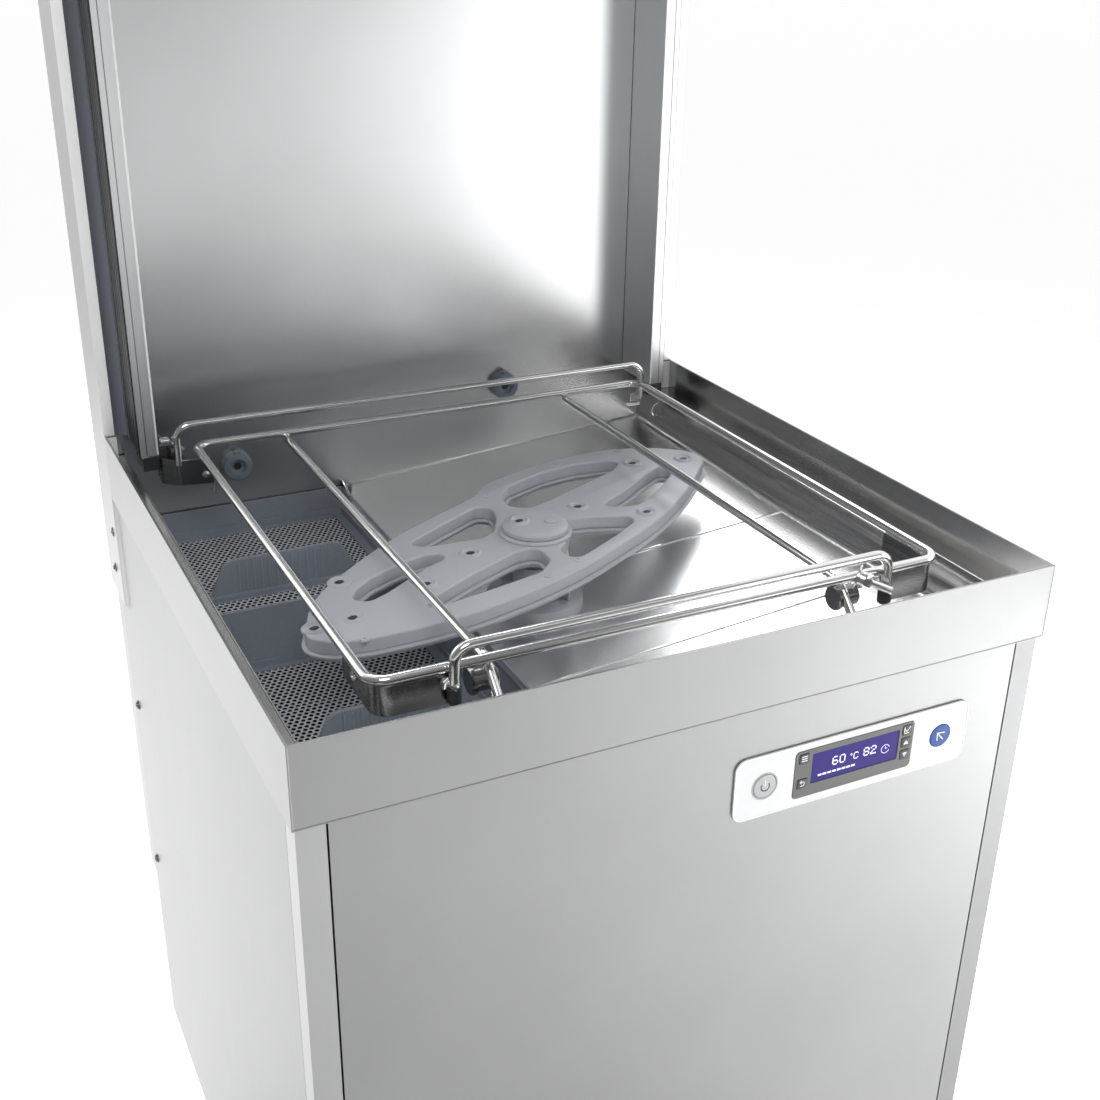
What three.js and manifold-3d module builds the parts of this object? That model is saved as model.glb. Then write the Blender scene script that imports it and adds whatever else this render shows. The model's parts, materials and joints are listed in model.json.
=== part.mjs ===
// A hood-type commercial dishwasher, standing with its hood raised.
//
// Millimetres, +Z up. X runs from the operator's left to right and is zero on the machine's
// centre line. Inside the machine group Y is zero at the apron's front face and grows to the
// back, and Z is zero on the floor. The group itself is shifted so that the origin is under the
// middle of the whole object.
import * as THREE from 'three';
import { mergeVertices } from 'three/addons/utils/BufferGeometryUtils.js';
import Module from 'manifold-3d';

const wasm = await Module();
wasm.setup();

// ---- driving dimensions ---------------------------------------------------------------------

const WIDTH = 635;
const DEPTH = 680;
const HANDLE_REACH = 70;
const RIM_Z = 880;
const HALF = WIDTH / 2;

const GAP = 0.3125;
const SNAP = 1 / 64;
const SHEET = 1.5;
const CASING_SHEET = 1.25;
const RIM_SHEET = 2;

const SKIRT = 64.5;
const LEDGE_DROP = 33;
const LEDGE_INNER = 297.5;
const RIM_REAR = 607.1875;
const CABINET_Z = 130;
const FRONT_RECESS = 4;
const SIDE_RECESS = 3;
const POST_FACE = 21;
const SIDE_PANEL_REAR = 645;

const COLUMN_FRONT = 607.5;
const COLUMN_TOP = 1490;
const COLUMN_FOOT = 695;
const BACK_WALL_Y = 640.25;
const REAR_STEP_Z = 330;

const HOOD_HALF = 305.5;
const HOOD_FRONT = 14;
const HOOD_REAR = 632;
const HOOD_BOTTOM = 1330;
const HOOD_HEIGHT = 665;
const HOOD_WALL = 14;
const HOOD_SHEET = 1;
const LINER_SHEET = 0.75;
const HOOD_TOP_REAR = 676;

const ARM_CENTRE = new THREE.Vector2(-0.5, 302);
const ARM_ANGLE = THREE.MathUtils.degToRad(22);
const LOWER_ARM_TOP = RIM_Z - 35;
const UPPER_ARM_TOP = 1372;
const ARM_THICKNESS = 22;
const SHAFT_RADIUS = 12;

const SUMP_RIGHT = -68;
const SUMP_FLOOR = 600;
const TANK_FLOOR_HIGH = 803;
const TANK_FLOOR_LOW = 770;

// ---- shape helpers --------------------------------------------------------------------------

/** A box given by its extent on each axis; the two ends of an extent may be in either order. */
function slab(xs, ys, zs) {
  const size = [xs, ys, zs].map(([a, b]) => Math.abs(b - a));
  const mid = [xs, ys, zs].map(([a, b]) => (a + b) / 2);
  return new THREE.BoxGeometry(...size).translate(...mid);
}

/** A round bar between two points. */
function bar(from, to, radius, sides = 12) {
  const a = new THREE.Vector3(...from);
  const b = new THREE.Vector3(...to);
  const axis = b.clone().sub(a);
  const turn = new THREE.Quaternion().setFromUnitVectors(
    new THREE.Vector3(0, 1, 0), axis.clone().normalize());
  const middle = a.add(b).multiplyScalar(0.5);
  return new THREE.CylinderGeometry(radius, radius, axis.length(), sides)
    .applyQuaternion(turn)
    .translate(middle.x, middle.y, middle.z);
}

/** A turned piece: [radius, height] points round the Z axis, its foot at the given place. */
function turned(profile, place, sides = 24) {
  const points = profile.map(([radius, height]) => new THREE.Vector2(radius, height));
  return new THREE.LatheGeometry(points, sides).rotateX(Math.PI / 2).translate(...place);
}

/** A turned piece whose axis points to the back of the machine. */
function turnedToBack(profile, place, sides = 24) {
  return turned(profile, [0, 0, 0], sides).rotateX(-Math.PI / 2).translate(...place);
}

/** A turned piece whose axis points to the right. */
function turnedToRight(profile, place, sides = 24) {
  return turned(profile, [0, 0, 0], sides).rotateY(Math.PI / 2).translate(...place);
}

/** A rod of round section that follows straight runs joined by rounded bends. */
function bentRod(corners, radius, bend, sides = 8, closed = false) {
  const points = corners.map((c) => new THREE.Vector3(...c));
  const path = new THREE.CurvePath();
  const count = points.length;
  const arcEnds = points.map((corner, i) => {
    const before = points[(i + count - 1) % count];
    const after = points[(i + 1) % count];
    const reach = (other) => corner.clone().add(
      other.clone().sub(corner).setLength(Math.min(bend, other.distanceTo(corner) / 2.01)));
    return [reach(before), reach(after)];
  });
  const first = closed ? arcEnds[0][1] : points[0];
  let at = first;
  for (let i = 1; i < (closed ? count + 1 : count - 1); i += 1) {
    const [start, end] = arcEnds[i % count];
    path.add(new THREE.LineCurve3(at, start));
    path.add(new THREE.QuadraticBezierCurve3(start, points[i % count], end));
    at = end;
  }
  if (!closed) path.add(new THREE.LineCurve3(at, points[count - 1]));
  return sweep(pathPoints(path, closed), radius, sides, closed);
}

/** The points of a path of lines and bends: the ends of each line, and steps along each bend. */
function pathPoints(path, closed) {
  const bendSteps = 4;
  const points = [];
  for (const curve of path.curves) {
    const steps = curve.isLineCurve3 ? 1 : bendSteps;
    for (let i = 0; i < steps; i += 1) points.push(curve.getPoint(i / steps));
  }
  if (!closed) points.push(path.curves[path.curves.length - 1].getPoint(1));
  return points;
}

/** A polyline as a curve, each of its points at an even step of the parameter. */
class Polyline extends THREE.Curve {
  constructor(points, closed) {
    super();
    this.points = closed ? [...points, points[0]] : points;
  }

  getPoint(t, target = new THREE.Vector3()) {
    const spans = this.points.length - 1;
    const i = Math.min(Math.floor(t * spans + 1e-9), spans - 1);
    return target.lerpVectors(this.points[i], this.points[i + 1], t * spans - i);
  }

  getPointAt(t, target) {
    return this.getPoint(t, target);
  }

  getTangent(t, target = new THREE.Vector3()) {
    const spans = this.points.length - 1;
    const i = Math.round(t * spans);
    const closed = this.points[0].distanceTo(this.points[spans]) < 1e-6;
    const before = this.points[i > 0 ? i - 1 : (closed ? spans - 1 : 0)];
    const after = this.points[i < spans ? i + 1 : (closed ? 1 : spans)];
    const here = this.points[i];
    const into = here.clone().sub(before).normalize();
    const out = after.clone().sub(here).normalize();
    return target.copy(into.add(out).normalize());
  }

  getTangentAt(t, target) {
    return this.getTangent(t, target);
  }
}

/** A round section carried along a list of points. */
function sweep(points, radius, sides, closed = false) {
  const section = new THREE.Shape(
    Array.from({ length: sides }, (_, i) => {
      const angle = (2 * Math.PI * (i + 0.5)) / sides;
      return new THREE.Vector2(radius * Math.cos(angle), radius * Math.sin(angle));
    }));
  const path = new Polyline(points, closed);
  const steps = path.points.length - 1;
  return new THREE.ExtrudeGeometry(section, { steps, extrudePath: path });
}

/** A rectangle with rounded corners between two corners. */
function roundedRectangle(x0, y0, x1, y1, radius, Kind = THREE.Shape) {
  const shape = new Kind();
  shape.moveTo(x0 + radius, y0);
  shape.lineTo(x1 - radius, y0);
  shape.absarc(x1 - radius, y0 + radius, radius, -Math.PI / 2, 0);
  shape.lineTo(x1, y1 - radius);
  shape.absarc(x1 - radius, y1 - radius, radius, 0, Math.PI / 2);
  shape.lineTo(x0 + radius, y1);
  shape.absarc(x0 + radius, y1 - radius, radius, Math.PI / 2, Math.PI);
  shape.lineTo(x0, y0 + radius);
  shape.absarc(x0 + radius, y0 + radius, radius, Math.PI, 1.5 * Math.PI);
  return shape;
}

// ---- booleans -------------------------------------------------------------------------------

function solidOf(geometry) {
  const bare = geometry.clone();
  bare.deleteAttribute('normal');
  bare.deleteAttribute('uv');
  const merged = mergeVertices(bare, 1e-4);
  return new wasm.Manifold(new wasm.Mesh({
    numProp: 3,
    vertProperties: new Float32Array(merged.attributes.position.array),
    triVerts: new Uint32Array(merged.index.array),
  }));
}

/** The solid as a geometry, its points snapped to a fine grid and its empty triangles dropped. */
function geometryOf(solid) {
  const mesh = solid.getMesh();
  const snapped = mesh.vertProperties.map((v) => Math.round(v / SNAP) * SNAP);
  const loose = new THREE.BufferGeometry();
  loose.setAttribute('position', new THREE.BufferAttribute(snapped, 3));
  loose.setIndex(new THREE.BufferAttribute(mesh.triVerts, 1));
  const merged = mergeVertices(loose, SNAP / 4);
  const kept = [];
  for (let i = 0; i < merged.index.count; i += 3) {
    const [a, b, c] = [0, 1, 2].map((corner) => merged.index.getX(i + corner));
    if (a !== b && b !== c && c !== a) kept.push(a, b, c);
  }
  merged.setIndex(kept);
  const flat = merged.toNonIndexed();
  flat.computeVertexNormals();
  return flat;
}

function join(...pieces) {
  return geometryOf(pieces.map(solidOf).reduce((whole, piece) => whole.add(piece)));
}

function cut(base, ...tools) {
  return geometryOf(tools.map(solidOf).reduce((left, tool) => left.subtract(tool), solidOf(base)));
}

// ---- materials ------------------------------------------------------------------------------

function material(color, roughness, metalness) {
  return () => new THREE.MeshStandardMaterial({ color, roughness, metalness });
}

const brushedSteel = material(0xc4c6c7, 0.35, 1);
const satinSteel = material(0xa9abad, 0.42, 1);
const polishedSteel = material(0xd8dadb, 0.12, 1);
const galvanised = material(0x9a9fa1, 0.55, 1);
const greyPlastic = material(0x8e959b, 0.5, 0);
const strainerPlastic = material(0x67717c, 0.5, 0);
const fasciaPlastic = material(0xd4d6d8, 0.4, 0);
const bezelPlastic = material(0x6b6b66, 0.4, 0);
const keyRubber = material(0x4c4c4a, 0.6, 0);
const displayGlass = material(0x3a3296, 0.2, 0);
const blueButton = material(0x2a55a5, 0.3, 0);
const paleButton = material(0xdadcdd, 0.35, 0);
const blackPlastic = material(0x232426, 0.6, 0);
const whitePlastic = material(0xe4e4e0, 0.5, 0);
const springSteel = material(0x7d8084, 0.35, 1);

const machine = new THREE.Group();
machine.position.set(0, HANDLE_REACH - (DEPTH + HANDLE_REACH) / 2, 0);

function add(name, geometry, makeMaterial) {
  const mesh = new THREE.Mesh(geometry, makeMaterial());
  mesh.name = name;
  machine.add(mesh);
}

const SIDES = [['left', -1], ['right', 1]];

// ---- cabinet --------------------------------------------------------------------------------

function baseFrame() {
  const half = HALF - 6;
  const tray = slab([-half, half], [20, 642], [CABINET_Z, CABINET_Z + 40]);
  const inside = slab([-half + SHEET, half - SHEET], [20 + SHEET, 642 - SHEET],
    [CABINET_Z + SHEET, CABINET_Z + 41]);
  return cut(tray, inside);
}

function levellingFoot(x, y) {
  const profile = [[0, 0], [24, 0], [24, 8], [11, 18], [9, 22], [9, 88], [17, 92], [17, 104],
    [20, 108], [20, CABINET_Z - GAP], [0, CABINET_Z - GAP]];
  return turned(profile, [x, y, 0], 16);
}

function frontPost(side) {
  const outer = side * (HALF - SIDE_RECESS);
  const inner = side * (HALF - SIDE_RECESS - POST_FACE);
  const zs = [CABINET_Z, RIM_Z - LEDGE_DROP - 3];
  return join(
    slab([inner, outer], [FRONT_RECESS, FRONT_RECESS + SHEET], zs),
    slab([outer - side * SHEET, outer], [FRONT_RECESS, 26], zs));
}

function sidePanel(side) {
  const outer = side * (HALF - SIDE_RECESS);
  const top = RIM_Z - LEDGE_DROP - 4;
  const ys = [26.5, SIDE_PANEL_REAR];
  return join(
    slab([outer - side * CASING_SHEET, outer], ys, [CABINET_Z, top]),
    slab([outer - side * 12, outer], ys, [top - CASING_SHEET, top]));
}

const CONTROL = { left: 24.5, right: 250.5, bottom: RIM_Z - 164, top: RIM_Z - 108 };
const BEZEL = { left: 79.5, right: 194.5, bottom: RIM_Z - 157, top: RIM_Z - 114 };
const SCREEN = { left: 95.5, right: 180, bottom: RIM_Z - 146.5, top: RIM_Z - 119 };
const POWER_BUTTON = { x: 52.4, z: RIM_Z - 136.5, radius: 10.5 };
const START_BUTTON = { x: 223.3, z: RIM_Z - 136, radius: 10.5 };
const KEY_SIZE = { width: 9, height: 8.6, radius: 1.2 };
const KEYS = {
  key_menu: [87.5, RIM_Z - 121],
  key_back: [87.5, RIM_Z - 144],
  key_confirm: [187.5, RIM_Z - 121],
  key_up: [187.5, RIM_Z - 132.5],
  key_down: [187.5, RIM_Z - 144],
};

function frontPanel() {
  const half = HALF - SIDE_RECESS - POST_FACE - 1.5;
  const [bottom, top] = [150, RIM_Z - 46];
  const front = FRONT_RECESS;
  const flangeRear = front + 15;
  const pan = slab([-half, half], [front, flangeRear], [bottom, top]);
  const inside = slab([-half + CASING_SHEET, half - CASING_SHEET],
    [front + CASING_SHEET, flangeRear + 1], [bottom + CASING_SHEET, top - CASING_SHEET]);
  const controlCutout = slab([CONTROL.left + 6, CONTROL.right - 6], [front - 1, front + 3],
    [CONTROL.bottom + 4, CONTROL.top - 4]);
  return cut(pan, inside, controlCutout);
}

function roundHole(centre, radius) {
  const hole = new THREE.Path();
  hole.absarc(centre.x, centre.z, radius, 0, 2 * Math.PI, true);
  return hole;
}

function keyHole([x, z], grow) {
  const w = KEY_SIZE.width / 2 + grow;
  const h = KEY_SIZE.height / 2 + grow;
  return roundedRectangle(x - w, z - h, x + w, z + h, KEY_SIZE.radius, THREE.Path);
}

/** Turns an outline drawn in X and Z, with its holes, into a plate whose front face is at y. */
function frontPlate(shape, y, thickness, curveSegments = 4) {
  const options = { depth: thickness, bevelEnabled: false, curveSegments };
  return new THREE.ExtrudeGeometry(shape, options)
    .rotateX(Math.PI / 2)
    .translate(0, y + thickness, 0);
}

function controlFascia() {
  const shape = roundedRectangle(CONTROL.left, CONTROL.bottom, CONTROL.right, CONTROL.top, 10);
  for (const button of [POWER_BUTTON, START_BUTTON]) {
    shape.holes.push(roundHole(button, button.radius + 0.6));
  }
  shape.holes.push(roundedRectangle(BEZEL.left - GAP, BEZEL.bottom - GAP, BEZEL.right + GAP,
    BEZEL.top + GAP, 4, THREE.Path));
  return frontPlate(shape, 2.3, 1.4, 8);
}

function displayBezel() {
  const shape = roundedRectangle(BEZEL.left, BEZEL.bottom, BEZEL.right, BEZEL.top, 4);
  shape.holes.push(roundedRectangle(SCREEN.left, SCREEN.bottom, SCREEN.right, SCREEN.top, 1,
    THREE.Path));
  for (const place of Object.values(KEYS)) shape.holes.push(keyHole(place, 0.35));
  return frontPlate(shape, 1.9, 6, 2);
}

function displayScreen() {
  return frontPlate(roundedRectangle(SCREEN.left + GAP, SCREEN.bottom + GAP, SCREEN.right - GAP,
    SCREEN.top - GAP, 1), 2.4, 6);
}

function roundButton({ x, z, radius }) {
  const profile = [[0, 0], [radius - 1.2, 0], [radius, 0.8], [radius, 8], [0, 8]];
  return turnedToBack(profile, [x, 1.7, z], 24);
}

function keyCap([x, z]) {
  const w = KEY_SIZE.width / 2;
  const h = KEY_SIZE.height / 2;
  return frontPlate(roundedRectangle(x - w, z - h, x + w, z + h, KEY_SIZE.radius), 1.5, 7, 2);
}

add('base_frame', baseFrame(), galvanised);
for (const [row, y] of [['front', 50], ['rear', 600]]) {
  for (const [name, side] of SIDES) {
    add(`foot_${row}_${name}`, levellingFoot(side * 275, y), satinSteel);
  }
}
for (const [name, side] of SIDES) {
  add(`front_post_${name}`, frontPost(side), brushedSteel);
  add(`side_panel_${name}`, sidePanel(side), brushedSteel);
}
add('front_panel', frontPanel(), brushedSteel);
add('control_fascia', controlFascia(), fasciaPlastic);
add('display_bezel', displayBezel(), bezelPlastic);
add('display_screen', displayScreen(), displayGlass);
add('power_button', roundButton(POWER_BUTTON), paleButton);
add('start_button', roundButton(START_BUTTON), blueButton);
for (const [name, place] of Object.entries(KEYS)) add(name, keyCap(place), keyRubber);

// ---- connections at the back ----------------------------------------------------------------

const SERVICE_Y = SIDE_PANEL_REAR - SHEET;
const INLET = [-200, 260];
const DRAIN = [0, 220];
const GLAND = [200, 260];

function servicePlate() {
  const half = HALF - 6;
  const plate = slab([-half, half], [SERVICE_Y, SIDE_PANEL_REAR], [CABINET_Z, REAR_STEP_Z - 0.75]);
  const hole = ([x, z], radius) => bar([x, SERVICE_Y - 5, z], [x, SERVICE_Y + 5, z], radius, 24);
  return cut(plate, hole(INLET, 14), hole(DRAIN, 22), hole(GLAND, 13));
}

function fitting([x, z], neck, flange, bore, length) {
  const behind = -14;
  const front = SHEET + GAP;
  const profile = [[bore, behind], [neck, behind], [neck, front], [flange, front],
    [flange, front + 4], [neck, front + 5], [neck, length], [bore, length], [bore, behind]];
  return turnedToBack(profile, [x, SERVICE_Y, z], 24);
}

add('rear_service_plate', servicePlate(), brushedSteel);
add('water_inlet', fitting(INLET, 13.2, 19, 8, 30), satinSteel);
add('drain_outlet', fitting(DRAIN, 20, 27, 17, 32), blackPlastic);
add('cable_gland', fitting(GLAND, 12, 17, 6, 24), blackPlastic);

// ---- columns and back wall ------------------------------------------------------------------

const RAIL = {
  inner: 259.5,
  outer: 283.5,
  front: 647,
  rear: 673,
  top: HOOD_BOTTOM + HOOD_HEIGHT - 1.25,
};
const RAIL_FOOT = 1130;
const SPRING = { x: 240, y: 660, radius: 9, top: 1470, bottom: RAIL_FOOT + 3 + GAP };
const SLOT_OUTER = HALF - 8.5;
const FILL_NOZZLE = [-184.5, RIM_Z - 61];
const DOSING_NOZZLE = [120.5, RIM_Z - 14];
const MANIFOLD_Z = 1395;

function rearCover() {
  const low = HALF - 4;
  const high = HALF - SHEET - GAP;
  const ys = [DEPTH - SHEET, DEPTH];
  return join(
    slab([-low, low], ys, [REAR_STEP_Z, COLUMN_FOOT]),
    slab([-high, high], ys, [COLUMN_FOOT - 1, COLUMN_TOP - 2]),
    slab([-low, low], [SIDE_PANEL_REAR + 0.75, DEPTH], [REAR_STEP_Z, REAR_STEP_Z + SHEET]),
    ...SIDES.map(([, side]) => slab([side * (low - SHEET), side * low],
      [SIDE_PANEL_REAR + 0.75, DEPTH], [REAR_STEP_Z, RIM_Z - LEDGE_DROP - 4])));
}

function columnCover(side) {
  const flangeFoot = RIM_Z - 30;
  return join(
    slab([side * (HALF - SHEET), side * HALF], [COLUMN_FRONT, DEPTH], [COLUMN_FOOT, COLUMN_TOP]),
    slab([side * (SLOT_OUTER - SHEET), side * HALF], [COLUMN_FRONT, COLUMN_FRONT + SHEET],
      [flangeFoot, COLUMN_TOP]),
    slab([side * (SLOT_OUTER - SHEET), side * SLOT_OUTER], [COLUMN_FRONT, 640],
      [flangeFoot, COLUMN_TOP]));
}

function columnPost(side) {
  const [outer, inner] = [290, 273];
  const zs = [RIM_Z - 15, COLUMN_TOP - 2];
  const rear = BACK_WALL_Y - 0.75;
  const wall = (x) => slab([side * x, side * (x - SHEET)], [576, rear], zs);
  return join(slab([side * inner, side * outer], [576, 576 + SHEET], zs),
    wall(outer), wall(inner + SHEET));
}

function backWall() {
  const ys = [BACK_WALL_Y, BACK_WALL_Y + SHEET];
  const half = SLOT_OUTER - SHEET - GAP;
  const wall = join(
    slab([-half, half], ys, [RIM_Z - 30, COLUMN_TOP - 2]),
    slab([-295.25, 295.25], ys, [TANK_FLOOR_HIGH + 2, RIM_Z - 29]),
    slab([-295.25, SUMP_RIGHT - 2], ys, [RIM_Z - 125, RIM_Z - 29]));
  const hole = ([x, z], radius) => bar([x, 630, z], [x, 650, z], radius, 24);
  return cut(wall, hole(FILL_NOZZLE, 12), hole(DOSING_NOZZLE, 12), hole([0, MANIFOLD_Z], 16));
}

function columnCap() {
  const half = HALF - SHEET - GAP;
  const plate = slab([-half, half], [642.5, DEPTH - SHEET - GAP], [COLUMN_TOP - 1.5, COLUMN_TOP]);
  const rearSlot = (side) => slab([side * (RAIL.inner - 1.5), side * (RAIL.outer + 1.5)],
    [RAIL.front - 1.5, RAIL.rear + 1.5], [COLUMN_TOP - 10, COLUMN_TOP + 10]);
  const springLug = (side) => slab([side * (SPRING.x - 6), side * (SPRING.x + 6)],
    [SPRING.y - 6, SPRING.y + 6], [SPRING.top + GAP, COLUMN_TOP - 1]);
  return join(cut(plate, rearSlot(-1), rearSlot(1)), springLug(-1), springLug(1));
}

function railGuide(side) {
  const clearance = 0.5;
  const zs = [1300, COLUMN_TOP - 2];
  const block = slab([side * (RAIL.inner - 6), side * (RAIL.outer + 6)], [643.75, 677.5], zs);
  const hole = slab([side * (RAIL.inner - clearance), side * (RAIL.outer + clearance)],
    [RAIL.front - clearance, RAIL.rear + clearance], [zs[0] - 1, zs[1] + 1]);
  return cut(block, hole);
}

function wallNozzle([x, z]) {
  const profile = [[0, 2], [6, 2], [6, 0], [13, 0], [15.5, 2], [15.5, 12], [11.5, 12], [11.5, 20],
    [0, 20]];
  return turnedToBack(profile, [x, BACK_WALL_Y - 12 - GAP, z], 24);
}

add('rear_cover', rearCover(), brushedSteel);
add('back_wall', backWall(), satinSteel);
add('column_cap', columnCap(), brushedSteel);
for (const [name, side] of SIDES) {
  add(`column_cover_${name}`, columnCover(side), brushedSteel);
  add(`column_post_${name}`, columnPost(side), satinSteel);
  add(`rail_guide_${name}`, railGuide(side), whitePlastic);
  add(`lift_spring_${name}`, bar([side * SPRING.x, SPRING.y, SPRING.bottom],
    [side * SPRING.x, SPRING.y, SPRING.top], SPRING.radius), springSteel);
}
add('fill_nozzle', wallNozzle(FILL_NOZZLE), greyPlastic);
add('dosing_nozzle', wallNozzle(DOSING_NOZZLE), greyPlastic);

// ---- tank and rim ---------------------------------------------------------------------------

function tankRim() {
  const skirtZ = [RIM_Z - SKIRT, RIM_Z];
  const ledgeZ = [RIM_Z - LEDGE_DROP - SHEET, RIM_Z - LEDGE_DROP];
  const outer = HALF - RIM_SHEET;
  const pieces = [
    slab([-HALF, HALF], [0, RIM_SHEET], skirtZ),
    slab([-HALF + 1, HALF - 1], [1, 20], ledgeZ),
  ];
  for (const [, side] of SIDES) {
    pieces.push(slab([side * outer, side * HALF], [0, RIM_REAR], skirtZ));
    pieces.push(slab([side * LEDGE_INNER, side * outer], [1, 640], ledgeZ));
    pieces.push(slab([side * LEDGE_INNER, side * (HALF - 1)], [1, RIM_REAR], ledgeZ));
    pieces.push(slab([side * (SLOT_OUTER - SHEET), side * HALF], [RIM_REAR - RIM_SHEET, RIM_REAR],
      [ledgeZ[0], RIM_Z]));
  }
  return join(...pieces);
}

/** The tank's cross-section from front view: a sloping floor that falls to the sump on the left. */
function tankSection(inset) {
  const side = 297.1875 - inset;
  const sumpRight = SUMP_RIGHT - inset;
  const shape = new THREE.Shape();
  shape.moveTo(-side, RIM_Z - LEDGE_DROP + 1 + inset);
  shape.lineTo(-side, SUMP_FLOOR - SHEET + inset);
  shape.lineTo(sumpRight, SUMP_FLOOR - SHEET + inset);
  shape.lineTo(sumpRight, TANK_FLOOR_LOW - SHEET + inset);
  shape.lineTo(side, TANK_FLOOR_HIGH - SHEET + inset);
  shape.lineTo(side, RIM_Z - LEDGE_DROP + 1 + inset);
  return shape;
}

const TANK_FRONT = 20.3125;
const SUCTION_PORT = { x: -180, y: 180, radius: 20 };
const DRAIN_PORT = { x: -180, y: 480, radius: 26 };

function tankShell() {
  const rear = BACK_WALL_Y + SHEET + 2;
  const whole = frontPlate(tankSection(0), TANK_FRONT, rear - TANK_FRONT);
  const inside = frontPlate(tankSection(SHEET), TANK_FRONT + SHEET, rear - TANK_FRONT - 2 * SHEET);
  const down = ({ x, y, radius }, z) => bar([x, y, z - 30], [x, y, z + 30], radius, 24);
  const [nozzleX, nozzleZ] = FILL_NOZZLE;
  return cut(whole, inside,
    bar([nozzleX, rear - 4, nozzleZ], [nozzleX, rear + 4, nozzleZ], 13, 24),
    down({ x: ARM_CENTRE.x, y: ARM_CENTRE.y, radius: 24 }, TANK_FLOOR_LOW),
    down(SUCTION_PORT, SUMP_FLOOR),
    down(DRAIN_PORT, SUMP_FLOOR));
}

const STRAINER = {
  left: -293.5,
  right: -71.5,
  top: RIM_Z - 104,
  rearFloor: RIM_Z - 136,
  frontFloor: RIM_Z - 166,
};
const STRAINER_STEP_Y = 394;

/** An upright grip: a flat fin with sloping ends. */
function gripFin(y, floor, height, thickness, foot, crown) {
  const shape = new THREE.Shape();
  shape.moveTo(foot[0], floor);
  shape.lineTo(foot[1], floor);
  shape.lineTo(crown[1] + 6, floor + height - 6);
  shape.lineTo(crown[1], floor + height);
  shape.lineTo(crown[0], floor + height);
  shape.lineTo(crown[0] - 6, floor + height - 6);
  return frontPlate(shape, y, thickness);
}

function strainerRear() {
  const { left, right, top, rearFloor, frontFloor } = STRAINER;
  const [front, rear] = [STRAINER_STEP_Y, 638];
  const wall = 2;
  return join(
    slab([left, right], [front, rear], [rearFloor, rearFloor + wall]),
    slab([left, right], [rear - wall, rear], [rearFloor, top]),
    slab([left, left + wall], [front, rear], [rearFloor, top]),
    slab([right - wall, right], [front, rear], [rearFloor, top]),
    slab([left, right], [front, front + wall], [frontFloor + 2 * wall, rearFloor + wall]),
    slab([left, right], [478, 490], [rearFloor, rearFloor + 7]),
    gripFin(482, rearFloor + 1, 39, 5, [-257, -103], [-231, -136]));
}

function strainerFront() {
  const { left, right, top, frontFloor } = STRAINER;
  const [front, rear] = [24, STRAINER_STEP_Y - 0.5];
  const wall = 2;
  return join(
    slab([left, right], [front, rear], [frontFloor, frontFloor + wall]),
    slab([left, right], [front, front + wall], [frontFloor, top]),
    slab([left, left + wall], [front, rear], [frontFloor, top]),
    slab([right - wall, right], [front, rear], [frontFloor, top]),
    slab([left, right], [rear - wall, rear], [frontFloor, frontFloor + 7]),
    gripFin(214, frontFloor + 1, 46, 5, [-246, -84], [-222, -112]));
}

/** A heating rod that runs round the sump, held by a flange on the tank's front wall. */
function tankHeater() {
  const z = SUMP_FLOOR + 34;
  const entry = [-110, 40, z];
  const loop = bentRod([entry, [-110, 440, z], [-230, 440, z], [-230, 90, z], [-150, 90, z],
    [-150, 380, z]], 4, 26);
  const flange = bar([entry[0], TANK_FRONT + SHEET + GAP, z], [entry[0], 44, z], 16, 16);
  return join(loop, flange);
}

add('tank_rim', tankRim(), brushedSteel);
add('tank_shell', tankShell(), satinSteel);
add('strainer_rear', strainerRear(), strainerPlastic);
add('strainer_front', strainerFront(), strainerPlastic);
add('tank_heater', tankHeater(), satinSteel);

// ---- rack guide -----------------------------------------------------------------------------

const ROD = 4;
const LOOP = { left: -243.5, right: 242.5, front: 53, rear: 551, z: RIM_Z - 1 };
const CROSSBARS = [-153, 153];
const CROSSBAR_Z = RIM_Z - 8;
const FRONT_STOP = { half: 185, y: 46.2, z: RIM_Z + 17, foot: RIM_Z - 18 };

function cornerStrip(side) {
  const x = side < 0 ? LOOP.left : LOOP.right;
  const edge = x - side * 1.5;
  const zs = [RIM_Z - 29, RIM_Z - 4];
  return [
    slab([edge, edge - side * 2], [LOOP.front - 2, 118], zs),
    slab([edge, edge - side * 54], [LOOP.front - 2, LOOP.front], zs),
  ];
}

function rackGuide() {
  const { left, right, front, rear, z } = LOOP;
  const loop = bentRod([[left, (front + rear) / 2, z], [left, front, z], [right, front, z],
    [right, rear, z], [left, rear, z]], ROD, 14, 8, true);
  const crossbars = CROSSBARS.map((x) => bentRod([[x, rear + 3, CROSSBAR_Z],
    [x, 66, CROSSBAR_Z], [x, 26, CROSSBAR_Z - 40]], ROD, 12));
  const { half, y, foot } = FRONT_STOP;
  const stop = bentRod([[-half, y, foot], [-half, y, FRONT_STOP.z], [half, y, FRONT_STOP.z],
    [half, y, foot]], ROD, 12);
  const strips = SIDES.flatMap(([, side]) => cornerStrip(side));
  return join(loop, ...crossbars, stop, ...strips);
}

/** The upright strip that carries one rear corner, running from the post towards the rack. */
function rearStrip(side) {
  const path = [[271.6, 592], [271.6, 577], [258, 566], [228, 560.5]];
  const thick = 2;
  const shape = new THREE.Shape();
  path.forEach(([x, y], i) => (i ? shape.lineTo(side * x, y) : shape.moveTo(side * x, y)));
  [...path].reverse().forEach(([x, y]) => shape.lineTo(side * (x - thick * 0.7), y + thick));
  return new THREE.ExtrudeGeometry(shape, { depth: 24, bevelEnabled: false })
    .translate(0, 0, RIM_Z - 46);
}

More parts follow.
